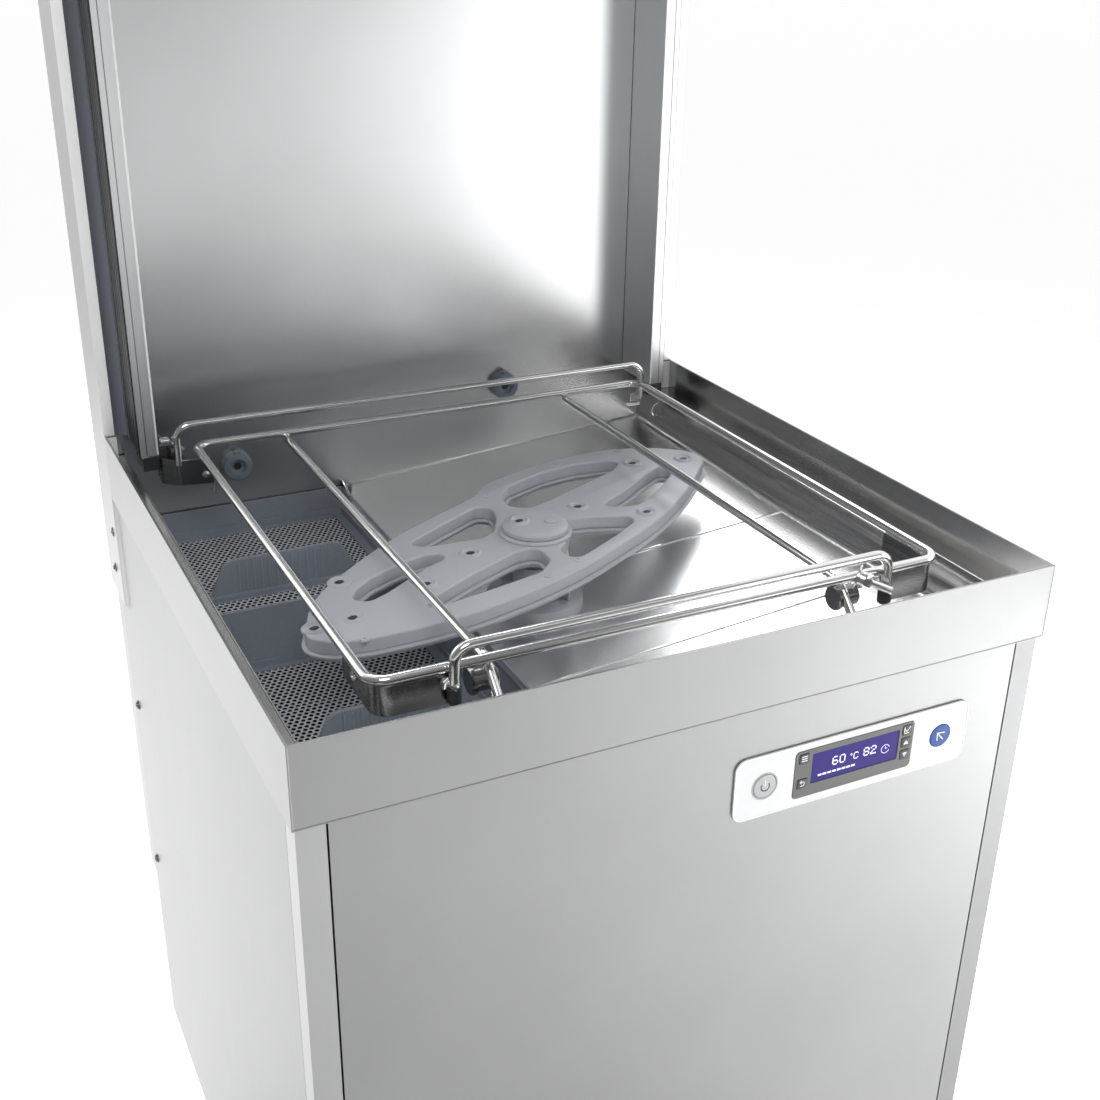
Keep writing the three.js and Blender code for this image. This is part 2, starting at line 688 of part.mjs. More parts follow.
function rackRearStop() {
  const half = 256.5;
  const [y, z, foot] = [568, RIM_Z + 14, RIM_Z - 26];
  const rail = bentRod([[-half, y, foot], [-half, y, z], [half, y, z], [half, y, foot]], 3.5, 14);
  return join(rail, rearStrip(-1), rearStrip(1));
}

add('rack_guide', rackGuide(), polishedSteel);
add('rack_rear_stop', rackRearStop(), polishedSteel);

// ---- wash arms ------------------------------------------------------------------------------

/** The arm's outline: half of it as points from tip to tip, the other half turned by 180 degrees. */
function armOutline() {
  const half = [[-262, -4], [-256, 18], [-222, 39], [-168, 62], [-96, 82], [-20, 94], [24, 97],
    [46, 108], [92, 111], [150, 103], [205, 84], [244, 57], [260, 30]];
  return [...half, ...half.map(([along, across]) => [-along, -across])]
    .reverse()
    .map(([along, across]) => new THREE.Vector2(along, across));
}

function armOpening(points) {
  return new THREE.Path(points.map(([along, across]) => new THREE.Vector2(along, across)));
}

function washArm(top, hubUp) {
  const shape = new THREE.Shape(armOutline());
  const wing = [[44, 50], [52, 84], [110, 88], [172, 66], [184, 50], [110, 44]];
  const notch = [[-84, 60], [-20, 70], [6, 72], [-12, 46], [-44, 34]];
  for (const outline of [wing, notch]) {
    shape.holes.push(armOpening(outline));
    shape.holes.push(armOpening(outline.map(([along, across]) => [-along, -across])));
  }
  const blade = new THREE.ExtrudeGeometry(shape, { depth: ARM_THICKNESS, bevelEnabled: false });
  const hubLow = hubUp ? 0 : -8;
  const hubHigh = hubUp ? ARM_THICKNESS + 8 : ARM_THICKNESS + 4;
  const hub = bar([0, 0, hubLow], [0, 0, hubHigh], 31, 24);
  const boreFrom = hubUp ? 4 : hubLow - 1;
  const boreTo = hubUp ? hubHigh + 1 : ARM_THICKNESS - 1;
  const bore = bar([0, 0, boreFrom], [0, 0, boreTo], SHAFT_RADIUS + 0.6, 24);
  return cut(join(blade, hub), bore)
    .rotateZ(ARM_ANGLE)
    .translate(ARM_CENTRE.x, ARM_CENTRE.y, top - ARM_THICKNESS);
}

function armPedestal() {
  const low = SUMP_FLOOR + 90;
  const shoulder = LOWER_ARM_TOP - ARM_THICKNESS - 8 - GAP;
  const tip = LOWER_ARM_TOP - 2;
  const profile = [[0, low], [20, low], [20, shoulder - 22], [17, shoulder], [SHAFT_RADIUS, shoulder],
    [SHAFT_RADIUS, tip], [0, tip]];
  return turned(profile, [ARM_CENTRE.x, ARM_CENTRE.y, 0]);
}

function upperManifold() {
  const pipe = bentRod([[0, 660, 560], [0, 660, MANIFOLD_Z], [0, ARM_CENTRE.y, MANIFOLD_Z]],
    14, 16, 12);
  const shoulder = UPPER_ARM_TOP + 8 + GAP;
  const tip = UPPER_ARM_TOP - ARM_THICKNESS + 6;
  const profile = [[0, tip], [SHAFT_RADIUS, tip], [SHAFT_RADIUS, shoulder], [22, shoulder],
    [22, MANIFOLD_Z + 17], [0, MANIFOLD_Z + 17]];
  return join(pipe, turned(profile, [ARM_CENTRE.x, ARM_CENTRE.y, 0]));
}

function hubCap() {
  const base = LOWER_ARM_TOP + 4 + GAP;
  return turned([[0, base], [30, base], [30, base + 3], [26, base + 5.5], [0, base + 5.5]],
    [ARM_CENTRE.x, ARM_CENTRE.y, 0], 32);
}

add('arm_pedestal', armPedestal(), greyPlastic);
add('upper_manifold', upperManifold(), greyPlastic);
add('lower_wash_arm', washArm(LOWER_ARM_TOP, false), greyPlastic);
add('lower_hub_cap', hubCap(), greyPlastic);
add('upper_wash_arm', washArm(UPPER_ARM_TOP, true), greyPlastic);

// ---- pump, boiler and electrics -------------------------------------------------------------

const PUMP = { x: -40, y: 330, z: 420 };

const MOTOR_SHAFT = 7;
const SHAFT_BORE = MOTOR_SHAFT + 0.6;

/** A bar along the pump's axis, between two distances from the front of its casing. */
function pumpAxisBar(from, to, radius, sides = 20) {
  return bar([PUMP.x + from, PUMP.y, PUMP.z], [PUMP.x + to, PUMP.y, PUMP.z], radius, sides);
}

function washPump() {
  const place = [PUMP.x, PUMP.y, PUMP.z];
  const casing = turnedToRight([[0, 0], [70, 0], [74, 6], [74, 50], [70, 56], [0, 56]], place, 32);
  const chamber = turnedToRight([[0, 6], [66, 6], [66, 50], [0, 50]], place, 32);
  const upFromVolute = (height, radius) => bar([PUMP.x + 28, PUMP.y + 48, PUMP.z],
    [PUMP.x + 28, PUMP.y + 48, PUMP.z + height], radius, 20);
  const body = join(casing, upFromVolute(120, 20), pumpAxisBar(-34, 2, 26));
  return cut(body, chamber, upFromVolute(130, 16), pumpAxisBar(-40, 10, 22),
    pumpAxisBar(40, 60, SHAFT_BORE, 16));
}

/** The impeller with the motor's shaft, which turn as one piece. */
function pumpImpeller() {
  const profile = [[0, 14], [14, 14], [14, 24], [58, 30], [58, 40], [12, 44], [MOTOR_SHAFT, 44],
    [MOTOR_SHAFT, 118], [0, 118]];
  return turnedToRight(profile, [PUMP.x, PUMP.y, PUMP.z], 24);
}

function pumpMotor() {
  const from = 57;
  const profile = [[0, from], [54, from], [60, from + 8], [60, from + 150], [50, from + 164],
    [0, from + 164]];
  const housing = turnedToRight(profile, [PUMP.x, PUMP.y, PUMP.z], 24);
  return cut(housing, pumpAxisBar(from - 5, 120, SHAFT_BORE, 16));
}

/** The rinse water boiler: a drawn shell with domed ends and a port in its crown. */
function boiler() {
  const [bottom, top] = [200, 556];
  const [port, crown, radius] = [9, 60, 84];
  const outside = [[0, bottom], [crown, bottom + 6], [radius, bottom + 26], [radius, top - 26],
    [crown, top - 6], [port, top]];
  const inside = [[port, top - SHEET], [crown - SHEET, top - 6 - SHEET],
    [radius - SHEET, top - 26 - SHEET], [radius - SHEET, bottom + 26 + SHEET],
    [crown - SHEET, bottom + 6 + SHEET], [0, bottom + SHEET]];
  return turned([...outside, ...inside], [200, 510, 0], 24);
}

/** The housing of the controls: a sheet steel box, open at the back. */
function electricalBox() {
  const [xs, ys, zs] = [[70, 290], [70, 170], [330, 690]];
  const inset = ([a, b]) => [a + SHEET, b - SHEET];
  return cut(slab(xs, ys, zs), slab(inset(xs), [ys[0] + SHEET, ys[1] + SHEET], inset(zs)));
}

add('wash_pump', washPump(), satinSteel);
add('pump_impeller', pumpImpeller(), blackPlastic);
add('pump_motor', pumpMotor(), galvanised);
add('boiler', boiler(), satinSteel);
add('electrical_box', electricalBox(), galvanised);

// ---- hood -----------------------------------------------------------------------------------

const HOOD_TOP = HOOD_BOTTOM + HOOD_HEIGHT;
const HANDLE = { half: 232, z: HOOD_BOTTOM + 55, radius: 12.5, bend: 40 };

function hoodShell() {
  const zs = [HOOD_BOTTOM, HOOD_TOP];
  const lipZ = [HOOD_TOP - 22, HOOD_TOP];
  const flangeZ = [HOOD_BOTTOM, HOOD_BOTTOM + HOOD_SHEET];
  const flangeInner = HOOD_HALF - HOOD_WALL + LINER_SHEET + GAP;
  const flangeRear = HOOD_FRONT + HOOD_WALL - LINER_SHEET - GAP;
  const pieces = [
    slab([-HOOD_HALF, HOOD_HALF], [HOOD_FRONT, HOOD_FRONT + HOOD_SHEET], zs),
    slab([-HOOD_HALF, HOOD_HALF], [HOOD_FRONT, HOOD_TOP_REAR], [HOOD_TOP - HOOD_SHEET, HOOD_TOP]),
    slab([-HOOD_HALF, HOOD_HALF], [HOOD_TOP_REAR - HOOD_SHEET, HOOD_TOP_REAR], lipZ),
    slab([-HOOD_HALF, HOOD_HALF], [HOOD_FRONT, flangeRear], flangeZ),
  ];
  for (const [, side] of SIDES) {
    const outer = side * HOOD_HALF;
    const inner = side * flangeInner;
    pieces.push(slab([outer - side * HOOD_SHEET, outer], [HOOD_FRONT, HOOD_REAR], zs));
    pieces.push(slab([outer - side * HOOD_SHEET, outer], [HOOD_FRONT, HOOD_TOP_REAR], lipZ));
    pieces.push(slab([inner, outer], [HOOD_FRONT, HOOD_REAR], flangeZ));
    pieces.push(slab([inner, outer], [HOOD_REAR - HOOD_SHEET, HOOD_REAR],
      [HOOD_BOTTOM, HOOD_TOP - HOOD_SHEET / 2]));
  }
  return join(...pieces);
}

function hoodLiner() {
  const inner = HOOD_HALF - HOOD_WALL;
  const outer = inner + LINER_SHEET;
  const front = HOOD_FRONT + HOOD_WALL - LINER_SHEET;
  const rear = HOOD_REAR - HOOD_SHEET - GAP;
  const top = HOOD_TOP - HOOD_WALL;
  const zs = [HOOD_BOTTOM, top];
  return join(
    slab([-outer, outer], [front, front + LINER_SHEET], zs),
    slab([-outer, outer], [front, 638], [top - LINER_SHEET, top]),
    ...SIDES.map(([, side]) => slab([side * inner, side * outer], [front, rear], zs)));
}

function hoodHandle() {
  const { half, z, radius, bend } = HANDLE;
  const sides = 16;
  const y = radius * Math.cos(Math.PI / sides) - HANDLE_REACH;
  const wallY = HOOD_FRONT - GAP;
  const grip = bentRod([[-half, wallY - 1, z], [-half, y, z], [half, y, z], [half, wallY - 1, z]],
    radius, bend, sides);
  const flange = (x) => bar([x, wallY - 4, z], [x, wallY, z], 22, 24);
  return join(grip, flange(-half), flange(half));
}

/** A channel that hangs from the hood's top edge and runs in the column behind the back wall. */
function hoodRail(side) {
  const { inner, outer, front, rear, top } = RAIL;
  const zs = [RAIL_FOOT, top];
  const blank = slab([side * inner, side * outer], [front, rear], zs);
  const channel = slab([side * (inner + 2), side * (outer - 2)], [front - 1, rear - 2],
    [RAIL_FOOT + 3, top + 1]);
  const foot = slab([side * (SPRING.x - 10), side * (inner + 1)], [SPRING.y - 9, SPRING.y + 9],
    [RAIL_FOOT, RAIL_FOOT + 3]);
  return join(cut(blank, channel), foot);
}

add('hood_shell', hoodShell(), brushedSteel);
add('hood_liner', hoodLiner(), satinSteel);
add('hood_handle', hoodHandle(), polishedSteel);
for (const [name, side] of SIDES) add(`hood_rail_${name}`, hoodRail(side), galvanised);

const dishwasher = new THREE.Group();
dishwasher.add(machine);

export default dishwasher;
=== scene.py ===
import json
import math

import bmesh
import bpy
from mathutils import Matrix, Quaternion, Vector


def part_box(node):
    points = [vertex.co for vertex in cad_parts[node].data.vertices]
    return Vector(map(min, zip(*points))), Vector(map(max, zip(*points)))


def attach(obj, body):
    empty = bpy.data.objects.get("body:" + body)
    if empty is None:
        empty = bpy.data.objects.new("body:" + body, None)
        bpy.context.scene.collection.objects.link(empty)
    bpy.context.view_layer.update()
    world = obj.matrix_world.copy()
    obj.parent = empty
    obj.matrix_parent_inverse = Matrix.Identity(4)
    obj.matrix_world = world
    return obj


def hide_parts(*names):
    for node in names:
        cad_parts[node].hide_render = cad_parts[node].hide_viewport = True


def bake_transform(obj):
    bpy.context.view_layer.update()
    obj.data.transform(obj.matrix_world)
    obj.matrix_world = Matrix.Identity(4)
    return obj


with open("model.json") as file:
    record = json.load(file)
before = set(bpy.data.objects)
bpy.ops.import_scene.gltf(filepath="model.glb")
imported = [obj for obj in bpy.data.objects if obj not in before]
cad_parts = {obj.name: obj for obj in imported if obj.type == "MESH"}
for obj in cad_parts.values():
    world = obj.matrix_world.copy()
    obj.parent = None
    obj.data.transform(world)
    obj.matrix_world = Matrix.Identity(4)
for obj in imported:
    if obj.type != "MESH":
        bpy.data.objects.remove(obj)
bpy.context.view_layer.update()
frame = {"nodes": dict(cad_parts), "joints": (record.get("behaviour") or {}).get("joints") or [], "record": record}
NODES = frame["nodes"]

# Pieces are drawn in millimetres from the front left top corner of the tank's rim:
# x to the right, y to the back, z up.
MM = 0.001
RIM_LOW, RIM_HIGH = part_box("tank_rim")
CORNER = Vector((RIM_LOW.x, RIM_LOW.y, RIM_HIGH.z))
SCENE = bpy.context.scene
UP = Vector((0, 0, 1))
FRONT, BACK, RIGHT = (0, -1, 0), (0, 1, 0), (1, 0, 0)


def drawn(point):
    """A point of the row frame, in metres, as millimetres from the rim's corner."""
    return (Vector(point) - CORNER) / MM


def extent(node):
    """The lowest and highest corners of a CAD node, in millimetres from the rim's corner."""
    low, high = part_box(node)
    return drawn(low), drawn(high)


def middle(node):
    """The centre of a CAD node, in millimetres from the rim's corner."""
    low, high = extent(node)
    return (low + high) / 2


def joint_point(name):
    """Where a hinge's axis passes, in millimetres from the rim's corner."""
    return drawn(next(j for j in frame["joints"] if j["name"] == name)["pos_m"])


# ---- materials --------------------------------------------------------------------------------


def look(name, colour, metallic, roughness, grain=(60, 60, 60), contrast=0.05, spread=0.05,
         bump=0.05, depth=0.0002, mottle=0.03, **sockets):
    """A material whose fine grain and broad mottle drive its colour, roughness and bump."""
    material = bpy.data.materials.new(name)
    material.use_nodes = True
    tree = material.node_tree
    link = tree.links.new
    shader = tree.nodes["Principled BSDF"]
    shader.inputs["Metallic"].default_value = metallic
    for socket, value in sockets.items():
        shader.inputs[socket.replace("_", " ")].default_value = value

    def node(kind, **inputs):
        made = tree.nodes.new(kind)
        for socket, value in inputs.items():
            made.inputs[socket.replace("_", " ")].default_value = value
        return made

    place = node("ShaderNodeTexCoord")
    stretch = node("ShaderNodeMapping", Scale=grain)
    fine = node("ShaderNodeTexNoise", Scale=1.0, Detail=3.0, Roughness=0.6)
    broad = node("ShaderNodeTexNoise", Scale=7.0, Detail=3.0, Roughness=0.55)
    link(place.outputs["Object"], stretch.inputs["Vector"])
    link(stretch.outputs["Vector"], fine.inputs["Vector"])
    link(place.outputs["Object"], broad.inputs["Vector"])

    def scaled(source, low, high):
        ranged = node("ShaderNodeMapRange", From_Min=0.3, From_Max=0.7, To_Min=low, To_Max=high)
        link(source, ranged.inputs["Value"])
        return ranged.outputs["Result"]

    both = node("ShaderNodeMath")
    both.operation = "ADD"
    link(scaled(fine.outputs["Fac"], -contrast, contrast), both.inputs[0])
    link(scaled(broad.outputs["Fac"], -mottle, mottle), both.inputs[1])
    tint = node("ShaderNodeHueSaturation", Color=(*colour, 1))
    lift = node("ShaderNodeMath")
    lift.operation = "ADD"
    lift.inputs[1].default_value = 1.0
    link(both.outputs[0], lift.inputs[0])
    link(lift.outputs[0], tint.inputs["Value"])
    link(tint.outputs["Color"], shader.inputs["Base Color"])

    rough = node("ShaderNodeMath")
    rough.operation = "ADD"
    link(scaled(fine.outputs["Fac"], -spread, spread), rough.inputs[0])
    link(scaled(broad.outputs["Fac"], roughness - spread / 2, roughness + spread / 2),
                   rough.inputs[1])
    link(rough.outputs[0], shader.inputs["Roughness"])

    relief = node("ShaderNodeBump", Strength=bump, Distance=depth)
    link(fine.outputs["Fac"], relief.inputs["Height"])
    link(relief.outputs["Normal"], shader.inputs["Normal"])
    return material


STEEL = (0.28, 0.281, 0.283)
ALONG, ACROSS = 4, 1300
LEVEL_GRAIN = (ALONG, ALONG, ACROSS)
UPRIGHT_GRAIN = (ACROSS, ACROSS, ALONG)
BACKWARD_GRAIN = (ACROSS, ALONG, ACROSS)
MOULDED = (420, 420, 420)

# Colour, metallic, roughness, grain, contrast, spread of roughness, bump and bump depth.
FINISHES = {
    "brushed_steel": (STEEL, 1, 0.3, LEVEL_GRAIN, 0.008, 0.015, 0.004),
    # A lighter copy of the cabinet's steel, brushed upright, for the left front post, the column covers and the
    # ramps beside them: painted light.
    "brushed_upright_lit": ((0.36, 0.361, 0.363), 1, 0.3, UPRIGHT_GRAIN, 0.008, 0.015, 0.004),
    # A darker copy of the steel for the right front post and the ribs drawn for the posts' grooves: painted shade.
    "shaded_post_steel": ((0.23, 0.231, 0.233), 1, 0.34, UPRIGHT_GRAIN, 0.015, 0.02, 0.004),
    # A lighter copy of the steel for the rim's inward faces and the tank's side walls: painted light.
    "inward_lit_steel": ((0.50, 0.495, 0.49), 1, 0.2, LEVEL_GRAIN, 0.02, 0.03, 0.03),
    "satin_steel": ((0.68, 0.685, 0.69), 1, 0.41, UPRIGHT_GRAIN, 0.02, 0.04, 0.015),
    "wall_steel": ((0.62, 0.625, 0.63), 1, 0.27, UPRIGHT_GRAIN, 0.004, 0.002, 0.0),
    # A darker copy of the steel for the side panels: painted shade, standing for the shade under the apron and the
    # darker floor they mirror.
    "shaded_side_steel": ((0.238, 0.239, 0.241), 1, 0.3, UPRIGHT_GRAIN, 0.008, 0.015, 0.004),
    # Near white, for the column covers' faces that look to the front and the beads on the posts: a painted
    # highlight.
    "painted_highlight_edge": ((0.93, 0.93, 0.93), 0.35, 0.45, UPRIGHT_GRAIN, 0.01, 0.02, 0.004),
    # The lightest copy of the steel, for the tank's floor and front wall: painted light.
    "lit_tank_steel": ((0.94, 0.94, 0.94), 1, 0.26, BACKWARD_GRAIN, 0.008, 0.01, 0.002),
    "polished_steel": ((0.68, 0.68, 0.675), 1, 0.15, (1500, 1500, 1500), 0.02, 0.03, 0.01),
    "strap_steel": ((0.20, 0.20, 0.20), 1, 0.24, BACKWARD_GRAIN, 0.03, 0.04, 0.02),
    # Blue grey, for the sheets on the wall beside the posts: a painted reflection.
    "slot_painted_reflection": ((0.26, 0.27, 0.32), 0, 0.4, UPRIGHT_GRAIN, 0.05, 0.05, 0.05),
    # Near black, for the sump's lowest faces under the strainers and the walls and undersides of the sieve holes:
    # painted shade.
    "painted_shade_steel": ((0.05, 0.05, 0.055), 1, 0.4, BACKWARD_GRAIN, 0.04, 0.05, 0.03),
    "galvanised_steel": ((0.56, 0.58, 0.59), 1, 0.5, (45, 45, 45), 0.12, 0.12, 0.08),
    "motor_housing": ((0.50, 0.52, 0.53), 1, 0.5, (700, 700, 700), 0.06, 0.1, 0.3),
    "grey_plastic": ((0.395, 0.412, 0.442), 0, 0.44, MOULDED, 0.03, 0.05, 0.12, 0.0003),
    "nozzle_plastic": ((0.15, 0.19, 0.22), 0, 0.42, MOULDED, 0.04, 0.06, 0.12, 0.0003),
    "strainer_plastic": ((0.225, 0.25, 0.29), 0, 0.42, MOULDED, 0.04, 0.06, 0.14, 0.0003),
    "sieve_plastic": ((0.46, 0.475, 0.50), 0, 0.4, MOULDED, 0.04, 0.06, 0.1, 0.0003),
    "fascia": ((0.70, 0.705, 0.71), 0.0, 0.42, MOULDED, 0.01, 0.03, 0.03),
    "bezel": ((0.09, 0.09, 0.087), 0, 0.34, MOULDED, 0.02, 0.04, 0.04),
    "key_rubber": ((0.035, 0.035, 0.035), 0, 0.4, MOULDED, 0.05, 0.05, 0.05),
    "display": ((0.015, 0.01, 0.08), 0, 0.25, MOULDED, 0.03, 0.02, 0.0),
    "digits": ((0.6, 0.6, 0.9), 0, 0.3, MOULDED, 0.02, 0.02, 0.0),
    # White for printed marks, and for the strips over the columns' seams, where it is painted light.
    "white_print_and_painted_light": ((0.85, 0.85, 0.86), 0, 0.4, MOULDED, 0.02, 0.03, 0.02),
    "start_blue": ((0.012, 0.05, 0.22), 0, 0.25, MOULDED, 0.03, 0.03, 0.02),
    "ring_glow": ((0.75, 0.85, 0.98), 0, 0.3, MOULDED, 0.01, 0.02, 0.0),
    "power_pale": ((0.40, 0.405, 0.41), 0, 0.35, MOULDED, 0.01, 0.03, 0.02),
    "black_plastic": ((0.018, 0.018, 0.02), 0, 0.45, MOULDED, 0.1, 0.08, 0.15),
    "white_plastic": ((0.72, 0.72, 0.70), 0, 0.45, MOULDED, 0.02, 0.05, 0.08),
    "spring_steel": ((0.38, 0.39, 0.41), 1, 0.32, (900, 900, 900), 0.05, 0.06, 0.1),
}


def glow(colour, strength, **more):
    return dict(Emission_Color=(*colour, 1), Emission_Strength=strength, **more)


# Sockets of the shader that only some finishes set.
EXTRAS = {
    "display": glow((0.05, 0.03, 0.27), 0.5, Specular_IOR_Level=0.12),
    "digits": glow((0.62, 0.60, 0.95), 0.75),
    "start_blue": glow((0.01, 0.06, 0.32), 0.25, Specular_IOR_Level=0.3),
    "ring_glow": glow((0.72, 0.84, 1.0), 0.8),
    "power_pale": {"Coat_Weight": 0.2},
}
LOOKS = {name: look(name, *finish, **EXTRAS.get(name, {})) for name, finish in FINISHES.items()}

# ---- shapes -----------------------------------------------------------------------------------


class Shape:
    """Points in millimetres from the rim's corner, with the faces between them."""

    def __init__(self):
        self.points = []
        self.faces = []

    def add(self, part, turn=None):
        points, faces = part
        start = len(self.points)
        self.points += [Vector(p) if turn is None else turn @ Vector(p) for p in points]
        self.faces += [[start + i for i in face] for face in faces]
        return self

    def piece(self, name, slot, material=None, replaces=(), body="cabinet", smooth=32, bevel=0.0):
        """Makes the object, hands it to its body and gives it its material."""
        mesh = bpy.data.meshes.new(name)
        mesh.from_pydata([CORNER + p * MM for p in self.points], [], self.faces)
        work = bmesh.new()
        work.from_mesh(mesh)
        bmesh.ops.remove_doubles(work, verts=work.verts, dist=1e-6)
        bmesh.ops.recalc_face_normals(work, faces=work.faces)
        work.to_mesh(mesh)
        work.free()
        mesh.shade_smooth()
        mesh.set_sharp_from_angle(angle=math.radians(smooth))
        mesh.materials.append(LOOKS[material or slot])
        made = bpy.data.objects.new(name, mesh)
        SCENE.collection.objects.link(made)
        if bevel:
            soften(made, bevel * MM)
        if body:
            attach(made, body)
        if replaces:
            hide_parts(*replaces)
        return made


def soften(thing, width):
    """Rounds the sharp edges of an object."""
    rounding = thing.modifiers.new("edges", "BEVEL")
    rounding.width = width
    rounding.segments = 2
    rounding.limit_method = "ANGLE"
    rounding.angle_limit = math.radians(50)
    rounding.harden_normals = False


def at(place, direction=UP, spin=0.0):
    """The matrix that carries a shape drawn along +Z to a place, pointing in a direction."""
    turn = UP.rotation_difference(Vector(direction)).to_matrix().to_4x4()
    return Matrix.Translation(Vector(place)) @ turn @ Matrix.Rotation(spin, 4, "Z")


def front_at(y):
    """The matrix that stands a flat drawing up, facing the operator, with its base at y."""
    return Matrix(((1, 0, 0, 0), (0, 0, -1, y), (0, 1, 0, 0), (0, 0, 0, 1)))


def box(xs, ys, zs):
    corners = [(x, y, z) for x in xs for y in ys for z in zs]
    return corners, [(0, 1, 3, 2), (4, 6, 7, 5), (0, 4, 5, 1), (2, 3, 7, 6), (0, 2, 6, 4), (1, 5, 7, 3)]


def lathe(profile, sides=32):
    """A turned shape from (radius, height) points, round Z."""
    points, rings, faces = [], [], []
    for radius, height in profile:
        if radius < 1e-6:
            rings.append([len(points)])
            points.append((0, 0, height))
            continue
        rings.append(list(range(len(points), len(points) + sides)))
        for i in range(sides):
            angle = math.tau * i / sides
            points.append((radius * math.cos(angle), radius * math.sin(angle), height))
    closed = profile[0] == profile[-1]
    if closed:
        points = points[:-sides]
        rings[-1] = rings[0]
    for low, high in zip(rings, rings[1:]):
        for i in range(sides):
            j = (i + 1) % sides
            if len(low) == 1 and len(high) > 1:
                faces.append((low[0], high[i], high[j]))
            elif len(high) == 1 and len(low) > 1:
                faces.append((low[i], low[j], high[0]))
            elif len(low) > 1:
                faces.append((low[i], low[j], high[j], high[i]))
    return points, faces


def bands(rings, size, looped=False, around=True):
    """The faces between rings of points that follow one another, each ring of the same size."""
    faces = []
    for i in range(rings if looped else rings - 1):
        low, high = i * size, (i + 1) % rings * size
        for k in range(size if around else size - 1):
            j = (k + 1) % size
            faces.append((low + k, low + j, high + j, high + k))
    return faces


def filleted(corners, bend, closed=False, steps=6):
    """A path through the corners, each rounded by an arc of radius bend."""
    corners = [Vector(c) for c in corners]
    count = len(corners)
    path = []
    for i, corner in enumerate(corners):
        if not closed and i in (0, count - 1):
            path.append(corner)
            continue
        back = (corners[i - 1] - corner).normalized()
        ahead = (corners[(i + 1) % count] - corner).normalized()
        angle = back.angle(ahead)
        centre = corner + (back + ahead).normalized() * (bend / math.sin(angle / 2))
        start = corner + back * (bend / math.tan(angle / 2)) - centre
        end = corner + ahead * (bend / math.tan(angle / 2)) - centre
        axis = start.cross(end).normalized()
        sweep_angle = start.angle(end)
        for k in range(steps + 1):
            path.append(centre + Quaternion(axis, sweep_angle * k / steps) @ start)
    return path


def rod(path, radius, sides=20, closed=False, nose=0.8):
    """A round bar along a path; its open ends are slightly rounded."""
    path = [Vector(p) for p in path]
    radii = [radius] * len(path)
    if not closed:
        first = (path[1] - path[0]).normalized() * nose
        last = (path[-2] - path[-1]).normalized() * nose
        path = [path[0], path[0] + first] + path[1:-1] + [path[-1] + last, path[-1]]
        radii = [radius - nose, radius] + radii[1:-1] + [radius, radius - nose]
    count = len(path)
    points = []
    tangent = None
    for i, centre in enumerate(path):
        before = path[i - 1] if closed or i else path[0]
        after = path[(i + 1) % count] if closed or i < count - 1 else path[-1]
        now = (after - before).normalized()
        if tangent is None:
            side = now.orthogonal().normalized()
        else:
            side = tangent.rotation_difference(now) @ side
        tangent = now
        other = now.cross(side)
        for k in range(sides):
            angle = math.tau * k / sides
            points.append(centre + radii[i] * (math.cos(angle) * side + math.sin(angle) * other))
    faces = bands(count, sides, closed)
    if not closed:
        faces += [tuple(range(sides)), tuple(range((count - 1) * sides, count * sides))]
    return points, faces


def ribbon(corners, thickness, low, high, bend=8):
    """A strip of sheet standing on edge along a flat path with rounded bends."""
    path = filleted([(x, y, 0) for x, y in corners], bend) if len(corners) > 2 else [
        Vector((x, y, 0)) for x, y in corners]
    points = []
    for i, centre in enumerate(path):
        before, after = path[max(i - 1, 0)], path[min(i + 1, len(path) - 1)]
        side = (after - before).normalized().cross(UP) * thickness / 2
        for edge, z in ((side, low), (-side, low), (-side, high), (side, high)):
            points.append(centre + edge + UP * z)
    last = 4 * (len(path) - 1)
    return points, bands(len(path), 4) + [(0, 1, 2, 3), (last, last + 1, last + 2, last + 3)]


def eased(loop, bend):
    """A closed loop with each corner rounded as far as its neighbours allow."""
    path = []
    corners = [Vector((x, y, 0)) for x, y in loop]
    for i, corner in enumerate(corners):
        back, ahead = corners[i - 1] - corner, corners[(i + 1) % len(corners)] - corner
        room = min(back.length, ahead.length) * 0.45
        half_turn = back.angle(ahead) / 2
        radius = min(bend, room * math.tan(half_turn))
        arc = filleted([corner + back.normalized() * room, corner, corner + ahead.normalized() * room],
                       radius, steps=4)
        path += [(p.x, p.y) for p in arc[1:-1]]
    return path


def plate(outline, holes=(), thickness=1.0, edge=0.2, soft=False, steps=2, grow=0.0):
    """A flat plate on the XY plane from z 0 to its thickness, with rounded edges."""
    curve = bpy.data.curves.new("plate", "CURVE")
    curve.dimensions = "2D"
    curve.fill_mode = "BOTH"
    curve.extrude = thickness / 2 - edge
    curve.bevel_depth = edge
    curve.bevel_resolution = steps - 1
    curve.offset = grow - edge
    curve.resolution_u = 5
    for loop in (outline, *holes):
        if soft and loop is outline:
            spline = curve.splines.new("BEZIER")
            spline.bezier_points.add(len(loop) - 1)
            for point, (x, y) in zip(spline.bezier_points, loop):
                point.co = (x, y, 0)
                point.handle_left_type = point.handle_right_type = "AUTO"
        else:
            spline = curve.splines.new("POLY")
            spline.points.add(len(loop) - 1)
            for point, (x, y) in zip(spline.points, loop):
                point.co = (x, y, 0, 1)
        spline.use_cyclic_u = True
    holder = bpy.data.objects.new("plate", curve)
    SCENE.collection.objects.link(holder)
    graph = bpy.context.evaluated_depsgraph_get()
    mesh = bpy.data.meshes.new_from_object(holder.evaluated_get(graph))
    lift = Vector((0, 0, thickness / 2))
    part = [v.co + lift for v in mesh.vertices], [tuple(p.vertices) for p in mesh.polygons]
    bpy.data.objects.remove(holder)
    bpy.data.curves.remove(curve)
    bpy.data.meshes.remove(mesh)
    return part


